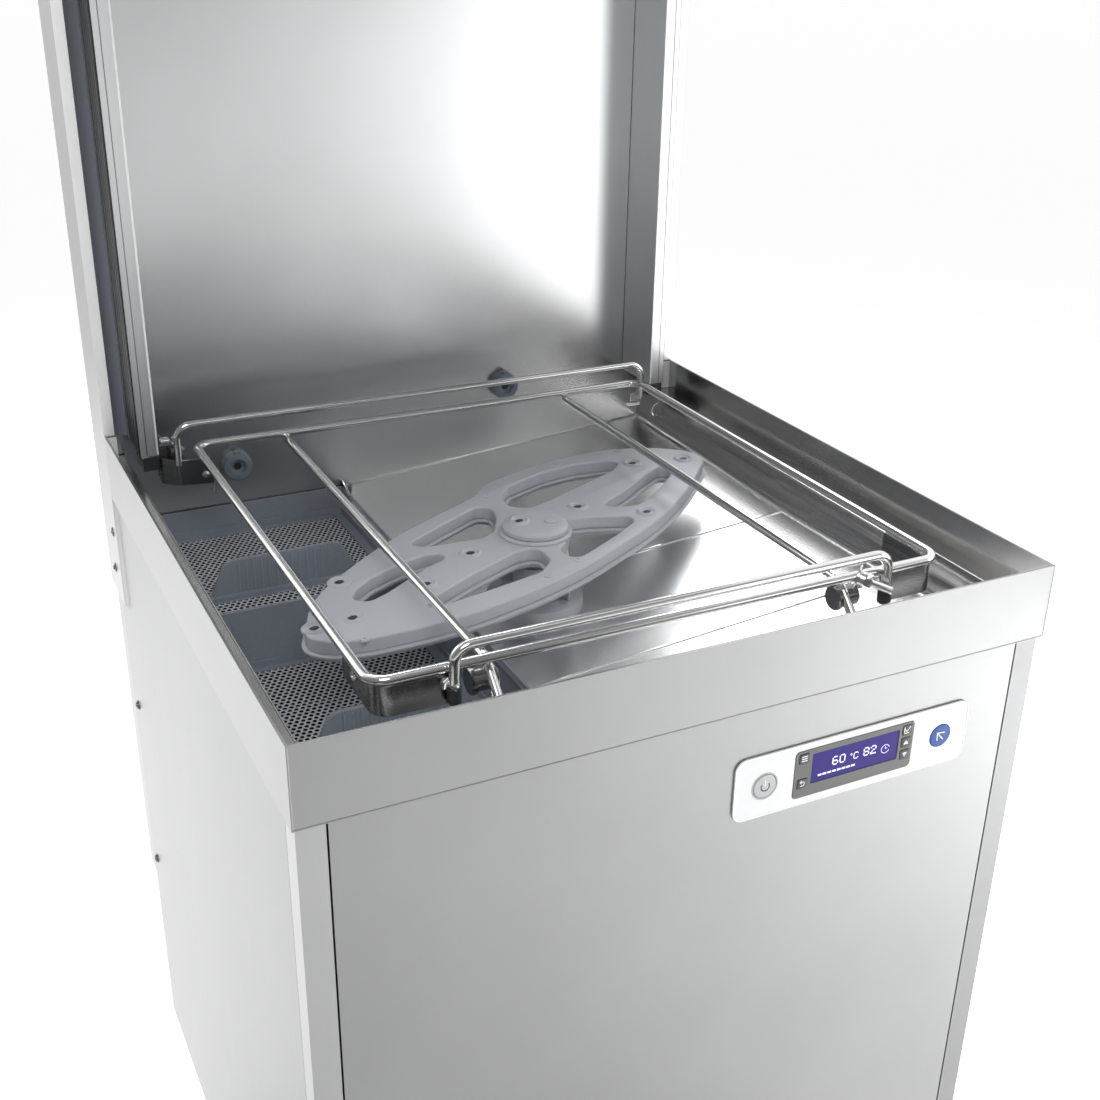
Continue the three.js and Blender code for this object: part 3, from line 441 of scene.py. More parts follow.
def rounded(x0, y0, x1, y1, radius, steps=6):
    """The outline of a rectangle with round corners."""
    loop = []
    for cx, cy, start in ((x1 - radius, y1 - radius, 0), (x0 + radius, y1 - radius, 90),
                          (x0 + radius, y0 + radius, 180), (x1 - radius, y0 + radius, 270)):
        for k in range(steps + 1):
            angle = math.radians(start + 90 * k / steps)
            loop.append((cx + radius * math.cos(angle), cy + radius * math.sin(angle)))
    return loop


def circle(x, y, radius, sides):
    angles = [math.tau * i / sides for i in range(sides)]
    return [(x + radius * math.cos(a), y + radius * math.sin(a)) for a in angles]


def screw(radius, washer, stud):
    """A pan head screw with a recess, on a washer, and perhaps a threaded stud beyond it."""
    part = Shape()
    part.add(lathe([(0, 0), (washer, 0), (washer, 0.8), (radius, 0.8), (radius, 2.2),
                    (radius * 0.8, 3.1), (radius * 0.45, 3.5), (radius * 0.4, 2.4), (0, 2.2)], 24))
    if stud:
        part.add(threaded(radius * 0.55, 3, 3 + stud))
    return part.points, part.faces


def threaded(radius, low, high, pitch=1.0):
    """A threaded shank, its thread drawn as a stack of ridges."""
    profile = [(0, low)]
    turns = max(2, int((high - low) / pitch))
    for i in range(turns):
        z = low + (high - low) * i / turns
        profile += [(radius * 0.86, z), (radius, z + (high - low) / turns / 2)]
    profile += [(radius * 0.8, high), (0, high)]
    return lathe(profile, 16)


def nut(height, across):
    """A hexagon nut with chamfered corners."""
    corner = across / math.sqrt(3)
    return lathe([(0, 0), (corner * 0.9, 0), (corner, height * 0.15), (corner, height * 0.85),
                  (corner * 0.9, height), (0, height)], 6)


# ---- camera, floor and light -------------------------------------------------------------------

CAMERA_PLACE = Vector((-0.5039, -1.0413, 1.3604))
CAMERA_YAW, CAMERA_PITCH, CAMERA_ROLL = 0.4632, 0.4328, 0.0161
LENS_MM, SENSOR_MM = 46.23, 36
# Name, place, target, width and height, power and spread in degrees. The two panels stand side by
# side for the back wall to mirror.
SOFTBOXES = (
    ("left", (-2.6, 2.8, 2.0), (-1.1, 1.6, 0), (2.2, 2.2), 12.5, 80),
    ("panel_mid", (1.05, -2.4, 1.145), (1.05, -1.4, 1.145), (0.5, 1.61), 1.0, 180),
    ("panel_bright", (1.75, -2.4, 1.015), (1.75, -1.4, 1.015), (0.9, 1.87), 9.5, 180),
    ("front_side", (2.7, -1.5, 1.4), (0.1, 0.1, 0.85), (1.2, 1.4), 18, 180),
    ("front_low", (1.95, -1.15, 0.8), (1.45, -1.05, 0), (0.8, 0.8), 25, 120),
    ("front_top", (-0.6, -2.0, 2.9), (0.07, 0.15, 0.8), (1.4, 1.1), 3.4, 46),
    ("top", (0.9, 2.1, 3.2), (0.5, 0.6, 0.6), (2.0, 1.6), 31, 100),
)
SKY_BRIGHT_SIDE = Vector((0.45, 0.85, 0.25)).normalized()
SKY_DIM, SKY_BRIGHT = 0.24, 1.3
FLOOR_REACH = 70.0


def make_camera():
    data = bpy.data.cameras.new("camera")
    data.lens = LENS_MM
    data.sensor_width = SENSOR_MM
    camera = bpy.data.objects.new("camera", data)
    forward = Vector((math.sin(CAMERA_YAW) * math.cos(CAMERA_PITCH),
                      math.cos(CAMERA_YAW) * math.cos(CAMERA_PITCH), -math.sin(CAMERA_PITCH)))
    right = Vector((math.cos(CAMERA_YAW), -math.sin(CAMERA_YAW), 0))
    up = right.cross(forward)
    tilted_right = math.cos(CAMERA_ROLL) * right + math.sin(CAMERA_ROLL) * up
    tilted_up = math.cos(CAMERA_ROLL) * up - math.sin(CAMERA_ROLL) * right
    axes = Matrix((tilted_right, tilted_up, -forward)).transposed().to_4x4()
    camera.matrix_world = Matrix.Translation(CAMERA_PLACE) @ axes
    SCENE.collection.objects.link(camera)
    SCENE.camera = camera


def softbox(name, place, target, size, power, spread):
    data = bpy.data.lights.new(name, "AREA")
    data.shape = "RECTANGLE"
    data.size, data.size_y = size
    data.energy = power
    data.spread = math.radians(spread)
    lamp = bpy.data.objects.new(name, data)
    aim = (Vector(target) - Vector(place)).to_track_quat("-Z", "Y")
    lamp.matrix_world = Matrix.Translation(Vector(place)) @ aim.to_matrix().to_4x4()
    SCENE.collection.objects.link(lamp)


def make_studio():
    """A pale floor under a sky that is bright behind the machine and dim in front of it.

    The sky lights and is mirrored; the camera itself sees a plain white backdrop.
    """
    world = bpy.data.worlds.new("studio")
    SCENE.world = world
    world.use_nodes = True
    tree = world.node_tree
    node, link = tree.nodes.new, tree.links.new
    sky = tree.nodes["Background"]
    sky.inputs["Color"].default_value = (1, 1, 1, 1)
    place = node("ShaderNodeTexCoord")
    toward = node("ShaderNodeVectorMath")
    toward.operation = "DOT_PRODUCT"
    toward.inputs[1].default_value = SKY_BRIGHT_SIDE
    ramp = node("ShaderNodeMapRange")
    ramp.interpolation_type = "SMOOTHSTEP"
    for socket, value in (("From Min", -0.3), ("From Max", 0.5), ("To Min", SKY_DIM),
                          ("To Max", SKY_BRIGHT)):
        ramp.inputs[socket].default_value = value
    seen = node("ShaderNodeLightPath")
    backdrop = node("ShaderNodeMix")
    backdrop.inputs["B"].default_value = 1.0
    link(place.outputs["Generated"], toward.inputs[0])
    link(toward.outputs["Value"], ramp.inputs["Value"])
    link(ramp.outputs["Result"], backdrop.inputs["A"])
    link(seen.outputs["Is Camera Ray"], backdrop.inputs["Factor"])
    link(backdrop.outputs["Result"], sky.inputs["Strength"])
    for lamp in SOFTBOXES:
        softbox(*lamp)

    floor = bpy.data.meshes.new("floor")
    corners = ((-1, -1), (1, -1), (1, 1), (-1, 1))
    floor.from_pydata([(FLOOR_REACH * x, FLOOR_REACH * y, 0) for x, y in corners], [], [(0, 1, 2, 3)])
    ground = bpy.data.objects.new("floor", floor)
    floor.materials.append(look("floor", (0.9, 0.9, 0.9), 0, 0.8, (30, 30, 30), 0.004, 0.03, 0.0,
                                mottle=0.004, **glow((1, 1, 1), 0.2)))
    SCENE.collection.objects.link(ground)
    SCENE.view_settings.view_transform = "Standard"


# ---- carried-over sheet metal ------------------------------------------------------------------

# CAD nodes whose finish isn't the one their record's slot names: the left front post and the column covers take a
# lighter copy of the steel, painted light; the right front post and the side panels take darker copies, painted
# shade.
LIT_AND_SHADED_COPIES = {
    "front_post_left": "brushed_upright_lit", "column_cover_left": "brushed_upright_lit",
    "column_cover_right": "brushed_upright_lit", "front_post_right": "shaded_post_steel",
    "side_panel_left": "shaded_side_steel", "side_panel_right": "shaded_side_steel",
}


def dress_cad():
    """Gives each CAD node its material, smooth shading on its curves and softened edges."""
    slots = {part["node"]: part["material_slot"] for part in frame["record"]["subparts"]}
    for name, thing in NODES.items():
        thing.data.materials.clear()
        thing.data.materials.append(LOOKS[LIT_AND_SHADED_COPIES.get(name, slots[name])])
        thing.data.shade_smooth()
        thing.data.set_sharp_from_angle(angle=math.radians(32))
        soften(thing, (0.7 if name == "tank_rim" else 0.35) * MM)
    # Each column cover's faces that look to the front take a painted highlight.
    for side in ("left", "right"):
        cover = NODES["column_cover_" + side].data
        cover.materials.append(LOOKS["painted_highlight_edge"])
        for face in cover.polygons:
            if face.normal.y < -0.9:
                face.material_index = 1
    # The rim's inward faces, and its low faces that look up, take the lighter copy of the steel: painted light.
    rim = NODES["tank_rim"].data
    rim.materials.append(LOOKS["inward_lit_steel"])
    middle = (RIM_LOW + RIM_HIGH) / 2
    for face in rim.polygons:
        outward = Vector((face.center.x - middle.x, face.center.y - middle.y, 0))
        if face.normal.dot(outward) < 0 or face.center.z < RIM_HIGH.z - 30 * MM < face.normal.z:
            face.material_index = 1


# ---- rack guide --------------------------------------------------------------------------------

ROD = 4.0
BUTTON_HEAD = [(0, 0), (4.2, 0), (4, 1.2), (2.4, 2.2), (0, 2.5)]
BUMPER = [(0, 0), (9.5, 0), (10.5, 1), (10.5, 3.5), (8.8, 4), (8.8, 20), (8, 21), (0, 21)]


def rack_guide():
    """The loop of rod that carries a rack, with its cross bars, front stop, straps and fixings."""
    low, high = extent("rack_guide")
    left, right = low.x + ROD, high.x - ROD
    front, rear, z = 53, high.y - ROD, -1
    centre = (left + right) / 2 + 0.5
    bars = (centre - 153, centre + 153)
    loop = [(left, front, z), (right, front, z), (right, rear, z), (left, rear, z)]
    rods = Shape().add(rod(filleted(loop, 14, closed=True), ROD, closed=True))
    for x in bars:
        rods.add(rod(filleted([(x, rear - 1, z - 6.5), (x, 66, z - 7), (x, 26, z - 47)], 12), ROD))
    rods.piece("rack_loop", "polished_steel", replaces=["rack_guide"])

    y, top, foot = 46.2, 17, -18
    stop_left, stop_right = centre - 185, centre + 185
    stop = [(stop_left, y, foot), (stop_left, y, top), (stop_right, y, top), (stop_right, y, foot)]
    Shape().add(rod(filleted(stop, 13, steps=8), ROD)).piece("rack_front_stop", "polished_steel")
    caps, bumpers = Shape(), Shape()
    for x in (stop_left, stop_right):
        caps.add(lathe([(0, -9), (4, -9), (5.6, -7), (5.6, 4), (4.4, 5), (0, 5)], 24), at((x, y, foot)))
    for x in bars:
        caps.add(lathe([(0, -2), (7, -2), (8.5, 0), (8.5, 7), (6, 9), (0, 9)], 24),
                 at((x, 24.5, -49.5), (0, 1, 1)))
    for x in (centre - 168, centre + 146):
        bumpers.add(lathe(BUMPER, 28), at((x, 62, -22), RIGHT))
    bumpers.piece("rack_bumpers", "polished_steel", "strap_steel")
    caps.piece("rack_stop_caps", "black_plastic")

    straps, fixings = Shape(), Shape()
    for side, x in ((1, left), (-1, right)):
        edge = x + side * 2.5
        straps.add(ribbon([(edge, 118), (edge, 52), (edge + side * 56, 52)], 2, -29, -5, 13))
        fixings.add(lathe(BUTTON_HEAD, 20), at((edge - side, 92, -15), (-side, 0, 0)))
    straps.piece("rack_straps", "polished_steel", "strap_steel", bevel=0.4)
    slant = (0.55, -0.8, -0.2)
    fixings.add(threaded(2.6, 0, 16), at((stop_left - 8, 54, -10), slant))
    fixings.add(nut(4.5, 8), at((stop_left - 6, 50.6, -11), slant))
    stud = Vector((0.66, -0.72, -0.22)).normalized()
    base = Vector((stop_right - 22, 56, -4))
    fixings.add(lathe([(0, 0), (10.5, 0), (11, 0.5), (11, 1.8), (0, 2.0)], 28), at(base, stud))
    fixings.add(lathe([(0, 2), (7.5, 2), (7.5, 7), (0, 7)], 28), at(base, stud))
    fixings.add(nut(6, 11.5), at(base + stud * 7, stud))
    fixings.add(threaded(3.6, 13, 30, 1.4), at(base, stud))
    fixings.piece("rack_fixings", "polished_steel")


def rack_rear_stop():
    """The rail behind the rack with the bracket at each of its ends."""
    low, high = extent("rack_rear_stop")
    centre = (low.x + high.x) / 2
    y, top, foot = 568, 14, -26
    left, right = centre - 256.5, centre + 256.5
    rail = [(left, y, foot), (left, y, top), (right, y, top), (right, y, foot)]
    Shape().add(rod(filleted(rail, 14, steps=8), 3.5)).piece("rack_rear_rail", "polished_steel",
                                                             replaces=["rack_rear_stop"])
    straps, hardware = Shape(), Shape()
    run = [(-271, 590), (-271, 578), (-257, 566.5), (-226, 561)]
    straps.add(ribbon([(centre + x, depth) for x, depth in run], 2, -46, -20, 5))
    gusset = [(-274, -40), (-274, 3), (-270, 3), (-249, -21), (-249, -25)]
    straps.add(plate([(centre + x, z) for x, z in gusset], (), 2, 0.3), front_at(584))
    hook = [(centre - 226, 561, -28), (centre - 224, 557, -42), (centre - 226, 559, -53)]
    hardware.add(rod(hook, 1.8, 12))
    leftward = (-1, 0, 0)
    hardware.add(lathe([(0, 0), (4.5, 0), (4.5, 8), (3, 9), (0, 9)], 20),
                 at((centre - 263, 575, -2), leftward))
    hardware.add(threaded(2.6, 0, 22), at((centre - 250, 572, -12), (-0.8, 0.2, 0.55)))
    hardware.add(nut(4, 8), at((centre - 256, 575, -2), leftward))
    hardware.add(lathe([(0, 0), (3.6, 0), (3.4, 1), (1.8, 1.8), (0, 2)], 16),
                 at((centre - 233, 560.8, -36), FRONT))
    straps.piece("rack_rear_strap_left", "polished_steel", "strap_steel", bevel=0.4)
    lug = [(centre + 246, 571), (centre + 262, 571), (centre + 272, 588)]
    Shape().add(ribbon(lug, 2, -30, -21, 4)).piece("rack_rear_strap_right", "polished_steel", bevel=0.4)
    hardware.add(rod([(centre + 240, 570, -33), (centre + 258, 570, -33)], 2.2, 14))
    ring = [(613.6, 592, -46), (607, 592, -48), (605, 592, -55), (608, 592, -60), (613.6, 592, -60)]
    hardware.add(rod(filleted(ring, 2), 1.4, 12))
    hardware.piece("rack_rear_fixings", "polished_steel")


# ---- wash arms ---------------------------------------------------------------------------------

# The blade's edge, its openings, its nozzles and its small pits, along and across the arm.
ARM_ANGLE = math.radians(22)
ARM_OUTLINE = [(-266, -4), (-252, 14), (-222, 40), (-160, 66), (-95, 84), (-37, 93), (14, 99), (28, 103),
               (44, 111), (75, 114), (135, 110), (173, 101), (209, 86), (236, 65), (254, 42), (262, 20),
               (255, 0), (226, -17), (190, -34), (142, -52), (95, -65), (30, -75), (-36, -81),
               (-98, -79), (-156, -71), (-210, -55), (-248, -37), (-264, -20)]
ARM_OPENINGS = [
    [(29, 60), (40, 78), (62, 90), (107, 91), (146, 83), (180, 66), (184, 56), (164, 48), (109, 45),
     (66, 42), (36, 42)],
    [(-94, 62), (-46, 70), (4, 77), (10, 66), (-1, 50), (-24, 30), (-41, 27), (-88, 49)],
    [(-198, 16), (-187, 26), (-164, 34), (-130, 37), (-102, 35), (-90, 27), (-97, 20), (-117, 19),
     (-144, 14), (-171, 8), (-192, 6)],
    [(-172, -37), (-149, -29), (-100, -22), (-43, -18), (-24, -24), (-34, -47), (-57, -57), (-111, -49),
     (-148, -43)],
    [(30, 2), (58, -14), (85, -38), (80, -47), (48, -54), (4, -60), (-16, -62), (-12, -41), (4, -36),
     (20, -18)],
    [(92, -4), (133, 2), (179, 13), (204, 18), (209, 9), (192, -2), (160, -14), (122, -25), (110, -24),
     (97, -14)],
]
ARM_OPENINGS = [eased(loop, 14) for loop in ARM_OPENINGS]
ARM_NOZZLES = [(-253, 0), (-221, -8), (-187, 48), (-72, 10), (-140, -6), (22, 24), (70, 10), (105, -44),
               (192, 43), (238, 14)]
ARM_DOTS = [(139, 99), (210, 76), (28, 88), (-19, -66), (-60, -69), (-239, -42)]


def nozzle_seat():
    """A spray nozzle's collar with the shallow cup inside it."""
    return lathe([(0, 0.3), (5.4, 0.3), (6.6, 1.3), (7.6, 1.7), (9.0, 1.2), (10.4, -0.5), (10.4, -3),
                  (0, -3)], 28)


def wash_arm(name, home, node):
    """One arm's blade and hub; home carries it from where it is drawn to its axis."""
    blade = Shape()
    lower, seam, crown = -17.0, -12.5, 0.0
    for thickness, edge, steps, grow, foot in ((crown - seam, 1.9, 4, -1.8, seam),
                                               (2.0, 0.5, 2, 1.2, seam - 1.8),
                                               (seam - lower, 1.2, 2, -2.4, lower - 1.6)):
        blade.add(plate(ARM_OUTLINE, ARM_OPENINGS, thickness, edge, soft=True, steps=steps, grow=grow),
                  home @ at((0, 0, foot)))
    for along, across in ARM_NOZZLES:
        blade.add(nozzle_seat(), home @ at((along, across, 0.3)))
    for along, across in ARM_DOTS:
        blade.add(lathe([(0, -0.5), (1.6, -0.3), (2.2, 0.5), (3.1, 0.4), (3.4, -1), (0, -1)], 16),
                  home @ at((along, across, 0.2)))
    hub = [(0, -21), (27, -21), (30, -18), (31, -6), (33, -1), (33, 1.6), (31.5, 3.2), (0, 3.2)]
    blade.add(lathe(hub, 48), home)
    blade.piece(name, "grey_plastic", replaces=[node], body=name)
    # A black plate in each nozzle's cup stands for its opening: painted shade.
    jet_mouth_shades = Shape()
    mouth = [(-4.4, -2.2), (-1.0, -3.4), (3.6, -2.4), (4.4, 0.6), (1.6, 2.9), (-3.2, 2.4)]
    for along, across in ARM_NOZZLES:
        jet_mouth_shades.add(plate(mouth, (), 0.5, 0.1), home @ at((along - 0.8, across - 0.6, 0.35)))
    jet_mouth_shades.piece(name + "_jets", "black_plastic", body=name)


def hub_cap(name, home, body, replaces=()):
    """The cap over an arm's hub, with a nozzle of its own."""
    cap = Shape()
    dome = [(0, 3.4), (29.5, 3.4), (30, 4.4), (29.4, 7.2), (27, 8.8), (22, 9.4), (0, 9.4)]
    cap.add(lathe(dome, 48), home)
    cap.add(nozzle_seat(), home @ at((-8, 12, 9.6)))
    cap.add(lathe([(0, 0), (6, 0), (6, 0.9), (4.6, 1.6), (0, 1.8)], 24), home @ at((12, -8, 9.4)))
    cap.piece(name, "grey_plastic", replaces=replaces, body=body)
    # A black plate in the cap's nozzle cup stands for its opening: painted shade.
    jet_mouth_shade = plate([(-4.0, -1.9), (3.4, -2.2), (4.0, 0.6), (1.2, 2.6), (-3.2, 2.0)], (), 0.5, 0.1)
    Shape().add(jet_mouth_shade, home @ at((-8.6, 11.6, 9.95))).piece(name + "_jet", "black_plastic", body=body)


def wash_arms():
    """Both arms: the lower one sprays upwards, and the upper one is the same arm turned over."""
    heights = {"lower": extent("lower_wash_arm")[1].z - 4, "upper": extent("upper_wash_arm")[0].z + 9.4}
    for which, spray, covered in (("lower", 1, ["lower_hub_cap"]), ("upper", -1, [])):
        name = which + "_arm"
        pivot = joint_point(name + "_spin")
        home = at((pivot.x, pivot.y, heights[which]), spin=ARM_ANGLE) @ Matrix.Diagonal((1, 1, spray, 1))
        wash_arm(name, home, which + "_wash_arm")
        hub_cap(name + "_cap", home, name, covered)


def supply_parts():
    """The post that carries the lower arm, and the pipe that feeds the upper one."""
    low, high = extent("arm_pedestal")
    axis = at(((low.x + high.x) / 2, (low.y + high.y) / 2, 0))
    shoulder = high.z - 28.3
    post = Shape()
    post.add(lathe([(0, low.z), (20, low.z), (20, shoulder - 44), (19.4, shoulder - 42),
                    (19.4, shoulder - 30), (20, shoulder - 28), (19, shoulder - 8), (17, shoulder),
                    (12, shoulder), (12, high.z), (0, high.z)], 40), axis)
    floor_z, ribs = -98, 6
    post.add(lathe([(20.2, floor_z - 8), (44, floor_z - 8), (44, floor_z + 3), (40, floor_z + 5),
                    (24, floor_z + 8), (20.2, floor_z + 14), (20.2, floor_z - 8)], 40), axis)
    for k in range(ribs):
        post.add(box((20, 38), (-1.4, 1.4), (floor_z + 2, floor_z + 16)),
                 axis @ Matrix.Rotation(math.tau * k / ribs, 4, "Z"))
    post.piece("arm_post", "grey_plastic", replaces=["arm_pedestal"])

    low, high = extent("upper_manifold")
    radius = 14
    z = high.z - 17
    rear = high.y - radius
    pivot = joint_point("upper_arm_spin")
    centre = (low.x + high.x) / 2
    pipe = Shape()
    run = [(centre, rear, low.z), (centre, rear, z), (centre, pivot.y, z)]
    pipe.add(rod(filleted(run, 22, steps=10), radius, 32))
    pipe.add(lathe([(0, pivot.z - 9), (12, pivot.z - 9), (12, z - 6), (22, z - 6), (22, z + 12),
                    (18, z + 17), (0, z + 17)], 40), at((centre - 0.5, pivot.y, 0)))
    collar = [(14.2, -4), (16.5, -4), (17, -2), (17, 2), (16.5, 4), (14.2, 4), (14.2, -4)]
    for along in (90, 200):
        pipe.add(lathe(collar, 32), at((centre, pivot.y + along, z), BACK))
    pipe.piece("supply_pipe", "grey_plastic", replaces=["upper_manifold"])


# ---- tank and strainers ------------------------------------------------------------------------


def tank_basin():
    """The tank's inner skin with its rounded bends and the creases across its floor."""
    low, high = extent("tank_shell")
    skin = 1.5
    left, right, front, rear = low.x + skin, high.x - skin, low.y + skin, high.y - skin
    top, sump_floor = high.z - 1, low.z + skin
    sump_right = extent("strainer_rear")[1].x + 3.5
    floor_left, floor_right = -107.5, -77.5
    # How far the floor rises or dips at each crease from the front to the rear.
    stations = [(front, 5.0), (165, 1.0), (335, -1.5), (600, 2.0), (rear, 3.0)]
    points = []
    for y, lift in stations:
        points += [(left, y, top), (left, y, sump_floor), (sump_right, y, sump_floor),
                   (sump_right, y, floor_left + lift), (right, y, floor_right + lift), (right, y, top)]
    corners = 6
    faces = bands(len(stations), corners, around=False)
    for end in (0, (len(stations) - 1) * corners):
        faces += [(end, end + 1, end + 2, end + 3), (end, end + 3, end + 4, end + 5)]
    made = Shape().add((points, faces)).piece("tank_basin", "satin_steel", "lit_tank_steel", body=None,
                                              smooth=60)
    # The skin is open at the top, so its faces are turned to look into the tank.
    centre = CORNER + Vector(((left + right) / 2, (front + rear) / 2, top)) * MM
    work = bmesh.new()
    work.from_mesh(made.data)
    # The one skin takes a copy of the steel by the way each face turns: floor and front wall the lightest, the
    # rear wall lighter than the side walls, all painted light; the sump's lowest faces near black, painted shade.
    for name in ("inward_lit_steel", "satin_steel", "painted_shade_steel"):
        made.data.materials.append(LOOKS[name])
    for face in work.faces:
        if face.normal.dot(centre - face.calc_center_median()) < 0:
            face.normal_flip()
        if drawn(face.calc_center_median()).z < sump_floor / 2 - 55:
            face.material_index = 3
        elif face.normal.y < -0.9:
            face.material_index = 2
        else:
            face.material_index = 1 if abs(face.normal.x) > 0.9 else 0
    work.to_mesh(made.data)
    work.free()
    bends = made.modifiers.new("bends", "BEVEL")
    bends.width = 7 * MM
    bends.segments = 5
    bends.limit_method = "ANGLE"
    bends.angle_limit = math.radians(20)
    wall = made.modifiers.new("wall", "SOLIDIFY")
    wall.thickness = 1.2 * MM
    wall.offset = -1
    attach(made, "cabinet")
    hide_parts("tank_shell")
    welds = Shape()
    for y, lift in stations[1:3]:
        weld = [(sump_right + 4, y, floor_left + lift + 0.4), (right - 4, y, floor_right + lift + 0.4)]
        welds.add(rod(weld, 0.9, 10, nose=0.3))
    welds.piece("tank_creases", "satin_steel", "polished_steel")


HOLE_PITCH, HOLE_RADIUS = 5.8, 2.15


def perforated(x0, x1, y0, y1, z, thickness):
    """A perforated sheet of staggered cells, each a hexagon with a hole, and the space it takes up."""
    row_step = HOLE_PITCH * math.sqrt(3) / 2
    columns = int((x1 - x0) / HOLE_PITCH - 0.5)
    rows = int((y1 - y0) / row_step)
    start_x = (x0 + x1) / 2 - (columns - 0.5) * HOLE_PITCH / 2
    start_y = (y0 + y1) / 2 - (rows - 1) * row_step / 2
    corner = HOLE_PITCH / math.sqrt(3)
    sides = 6
    angles = [math.pi / 6 + math.tau * k / sides for k in range(sides)]
    hexagon = [(math.cos(a), math.sin(a)) for a in angles]
    points, faces = [], []
    for row in range(rows):
        for column in range(columns):
            cx = start_x + (column + 0.5 * (row % 2)) * HOLE_PITCH
            cy = start_y + row * row_step
            base = len(points)
            for level in (z + thickness, z):
                for radius in (corner, HOLE_RADIUS):
                    points += [(cx + radius * c, cy + radius * s, level) for c, s in hexagon]
            for k in range(sides):
                j = (k + 1) % sides
                faces += [(base + k, base + j, base + 6 + j, base + 6 + k),
                          (base + 6 + k, base + 6 + j, base + 18 + j, base + 18 + k),
                          (base + 12 + k, base + 18 + k, base + 18 + j, base + 12 + j)]
    used = (start_x - HOLE_PITCH * 0.45, start_x + (columns - 0.5) * HOLE_PITCH + HOLE_PITCH * 0.45,
            start_y - HOLE_PITCH * 0.5, start_y + (rows - 1) * row_step + HOLE_PITCH * 0.5)
    return (points, faces), used


STRAINER_TOP = -104


def strainer(name, node, floor, grip_y, grip_foot, grip_crown, grip_top):
    """A strainer basket: upright walls with a step, a perforated floor and an upright grip."""
    low, high = extent(node)
    left, right, front, rear = low.x, high.x, low.y, high.y
    tray, sieve = Shape(), Shape()
    margin, over = 9.0, 1.5
    band = (grip_y - 6, grip_y + 9)
    for y0, y1 in ((front + margin, band[0]), (band[1], rear - margin)):
        mesh, used = perforated(left + margin, right - margin, y0, y1, floor, 1.6)
        sieve.add(mesh)
        x0, x1, sheet_y0, sheet_y1 = used
        for xs, ys in (((left, x0 + over), (y0 - margin, y1 + margin)),
                       ((x1 - over, right), (y0 - margin, y1 + margin)),
                       ((x0, x1), (y0 - margin, sheet_y0 + over)),
                       ((x0, x1), (sheet_y1 - over, y1 + margin))):
            ys = (max(ys[0], front), min(ys[1], rear))
            tray.add(box(xs, ys, (floor - 0.2, floor + 2.0)))
    tray.add(box((left, right), band, (floor - 0.2, floor + 6.0)))
    inner, step = 1.0, 9.0
    for run in (((left + inner, front), (left + inner, rear)),
                ((right - inner, front), (right - inner, rear)),
                ((left, rear - inner), (right, rear - inner)),
                ((left, front + inner), (right, front + inner))):
        tray.add(ribbon(run, 2.0, floor - 0.2, STRAINER_TOP))
        tray.add(ribbon(run, 5.0, floor - 0.2, floor + step))
    (foot0, foot1), (crown0, crown1) = grip_foot, grip_crown
    rise = grip_top - floor
    shoulder, brow = rise * 0.72, rise * 0.93
    fin = [(foot0, 0), (foot1, 0), (crown1 + 9, shoulder), (crown1 + 4, brow), (crown1 - 4, rise),
           (crown0 + 4, rise), (crown0 - 4, brow), (crown0 - 9, shoulder)]
    tray.add(plate(fin, (), 4.4, 1.2, steps=3), front_at(grip_y + 4.4) @ at((0, floor, 0)))
    flutes = 13
    for k in range(flutes):
        x = crown0 + 8 + (crown1 - crown0 - 16) * k / (flutes - 1)
        for y in (grip_y - 0.2, grip_y + 4.6):
            tray.add(lathe([(0, 0), (1.1, 0), (1.1, rise - 9), (0, rise - 7)], 8), at((x, y, floor + 4)))
    tray.piece(name, "strainer_plastic", replaces=[node], smooth=40)
    sheet = sieve.piece(name + "_sieve", "strainer_plastic", "sieve_plastic").data
    # The sieve's top faces keep their plastic; the walls of its holes and its underside take near black painted
    # shade.
    sheet.materials.append(LOOKS["painted_shade_steel"])
    for face in sheet.polygons:
        face.material_index = 0 if face.normal.z > 0.9 else 1


def strainers():
    strainer("strainer_back", "strainer_rear", -136, 482, (60, 215), (82, 188), -95)
    strainer("strainer_fore", "strainer_front", -166, 214, (72, 233), (96, 205), -118)


# ---- back wall and columns ---------------------------------------------------------------------


def wall_nozzles():
    for node in ("fill_nozzle", "dosing_nozzle"):
        low, centre = extent(node)[0], middle(node)
        face = Vector((centre.x, low.y, centre.z))
        part = Shape()
        part.add(lathe([(0, -19), (11.5, -19), (11.5, -12), (15.2, -12), (15.2, -2.6), (14.2, -0.8),
                        (12.6, 0), (8.4, 0), (7.4, -1.2), (6.6, -3.2), (5.2, -4.2), (0, -4.6)], 40),
                 at(face + Vector((0, 0.6, 0)), FRONT))
        part.add(box((centre.x - 3.2, centre.x + 3.2), (low.y + 1, low.y + 8),
                     (centre.z + 14, centre.z + 16.6)))
        part.piece(node + "_body", "grey_plastic", "nozzle_plastic", replaces=[node])
        # A black disc at the bottom of the nozzle's cup stands for its bore: painted shade.
        bore_shade = lathe([(0, 0), (4.4, 0), (4.4, 0.8), (0, 0.8)], 6)
        Shape().add(bore_shade, at(face + Vector((0, 5.4, 0)), FRONT)).piece(node + "_bore", "black_plastic")


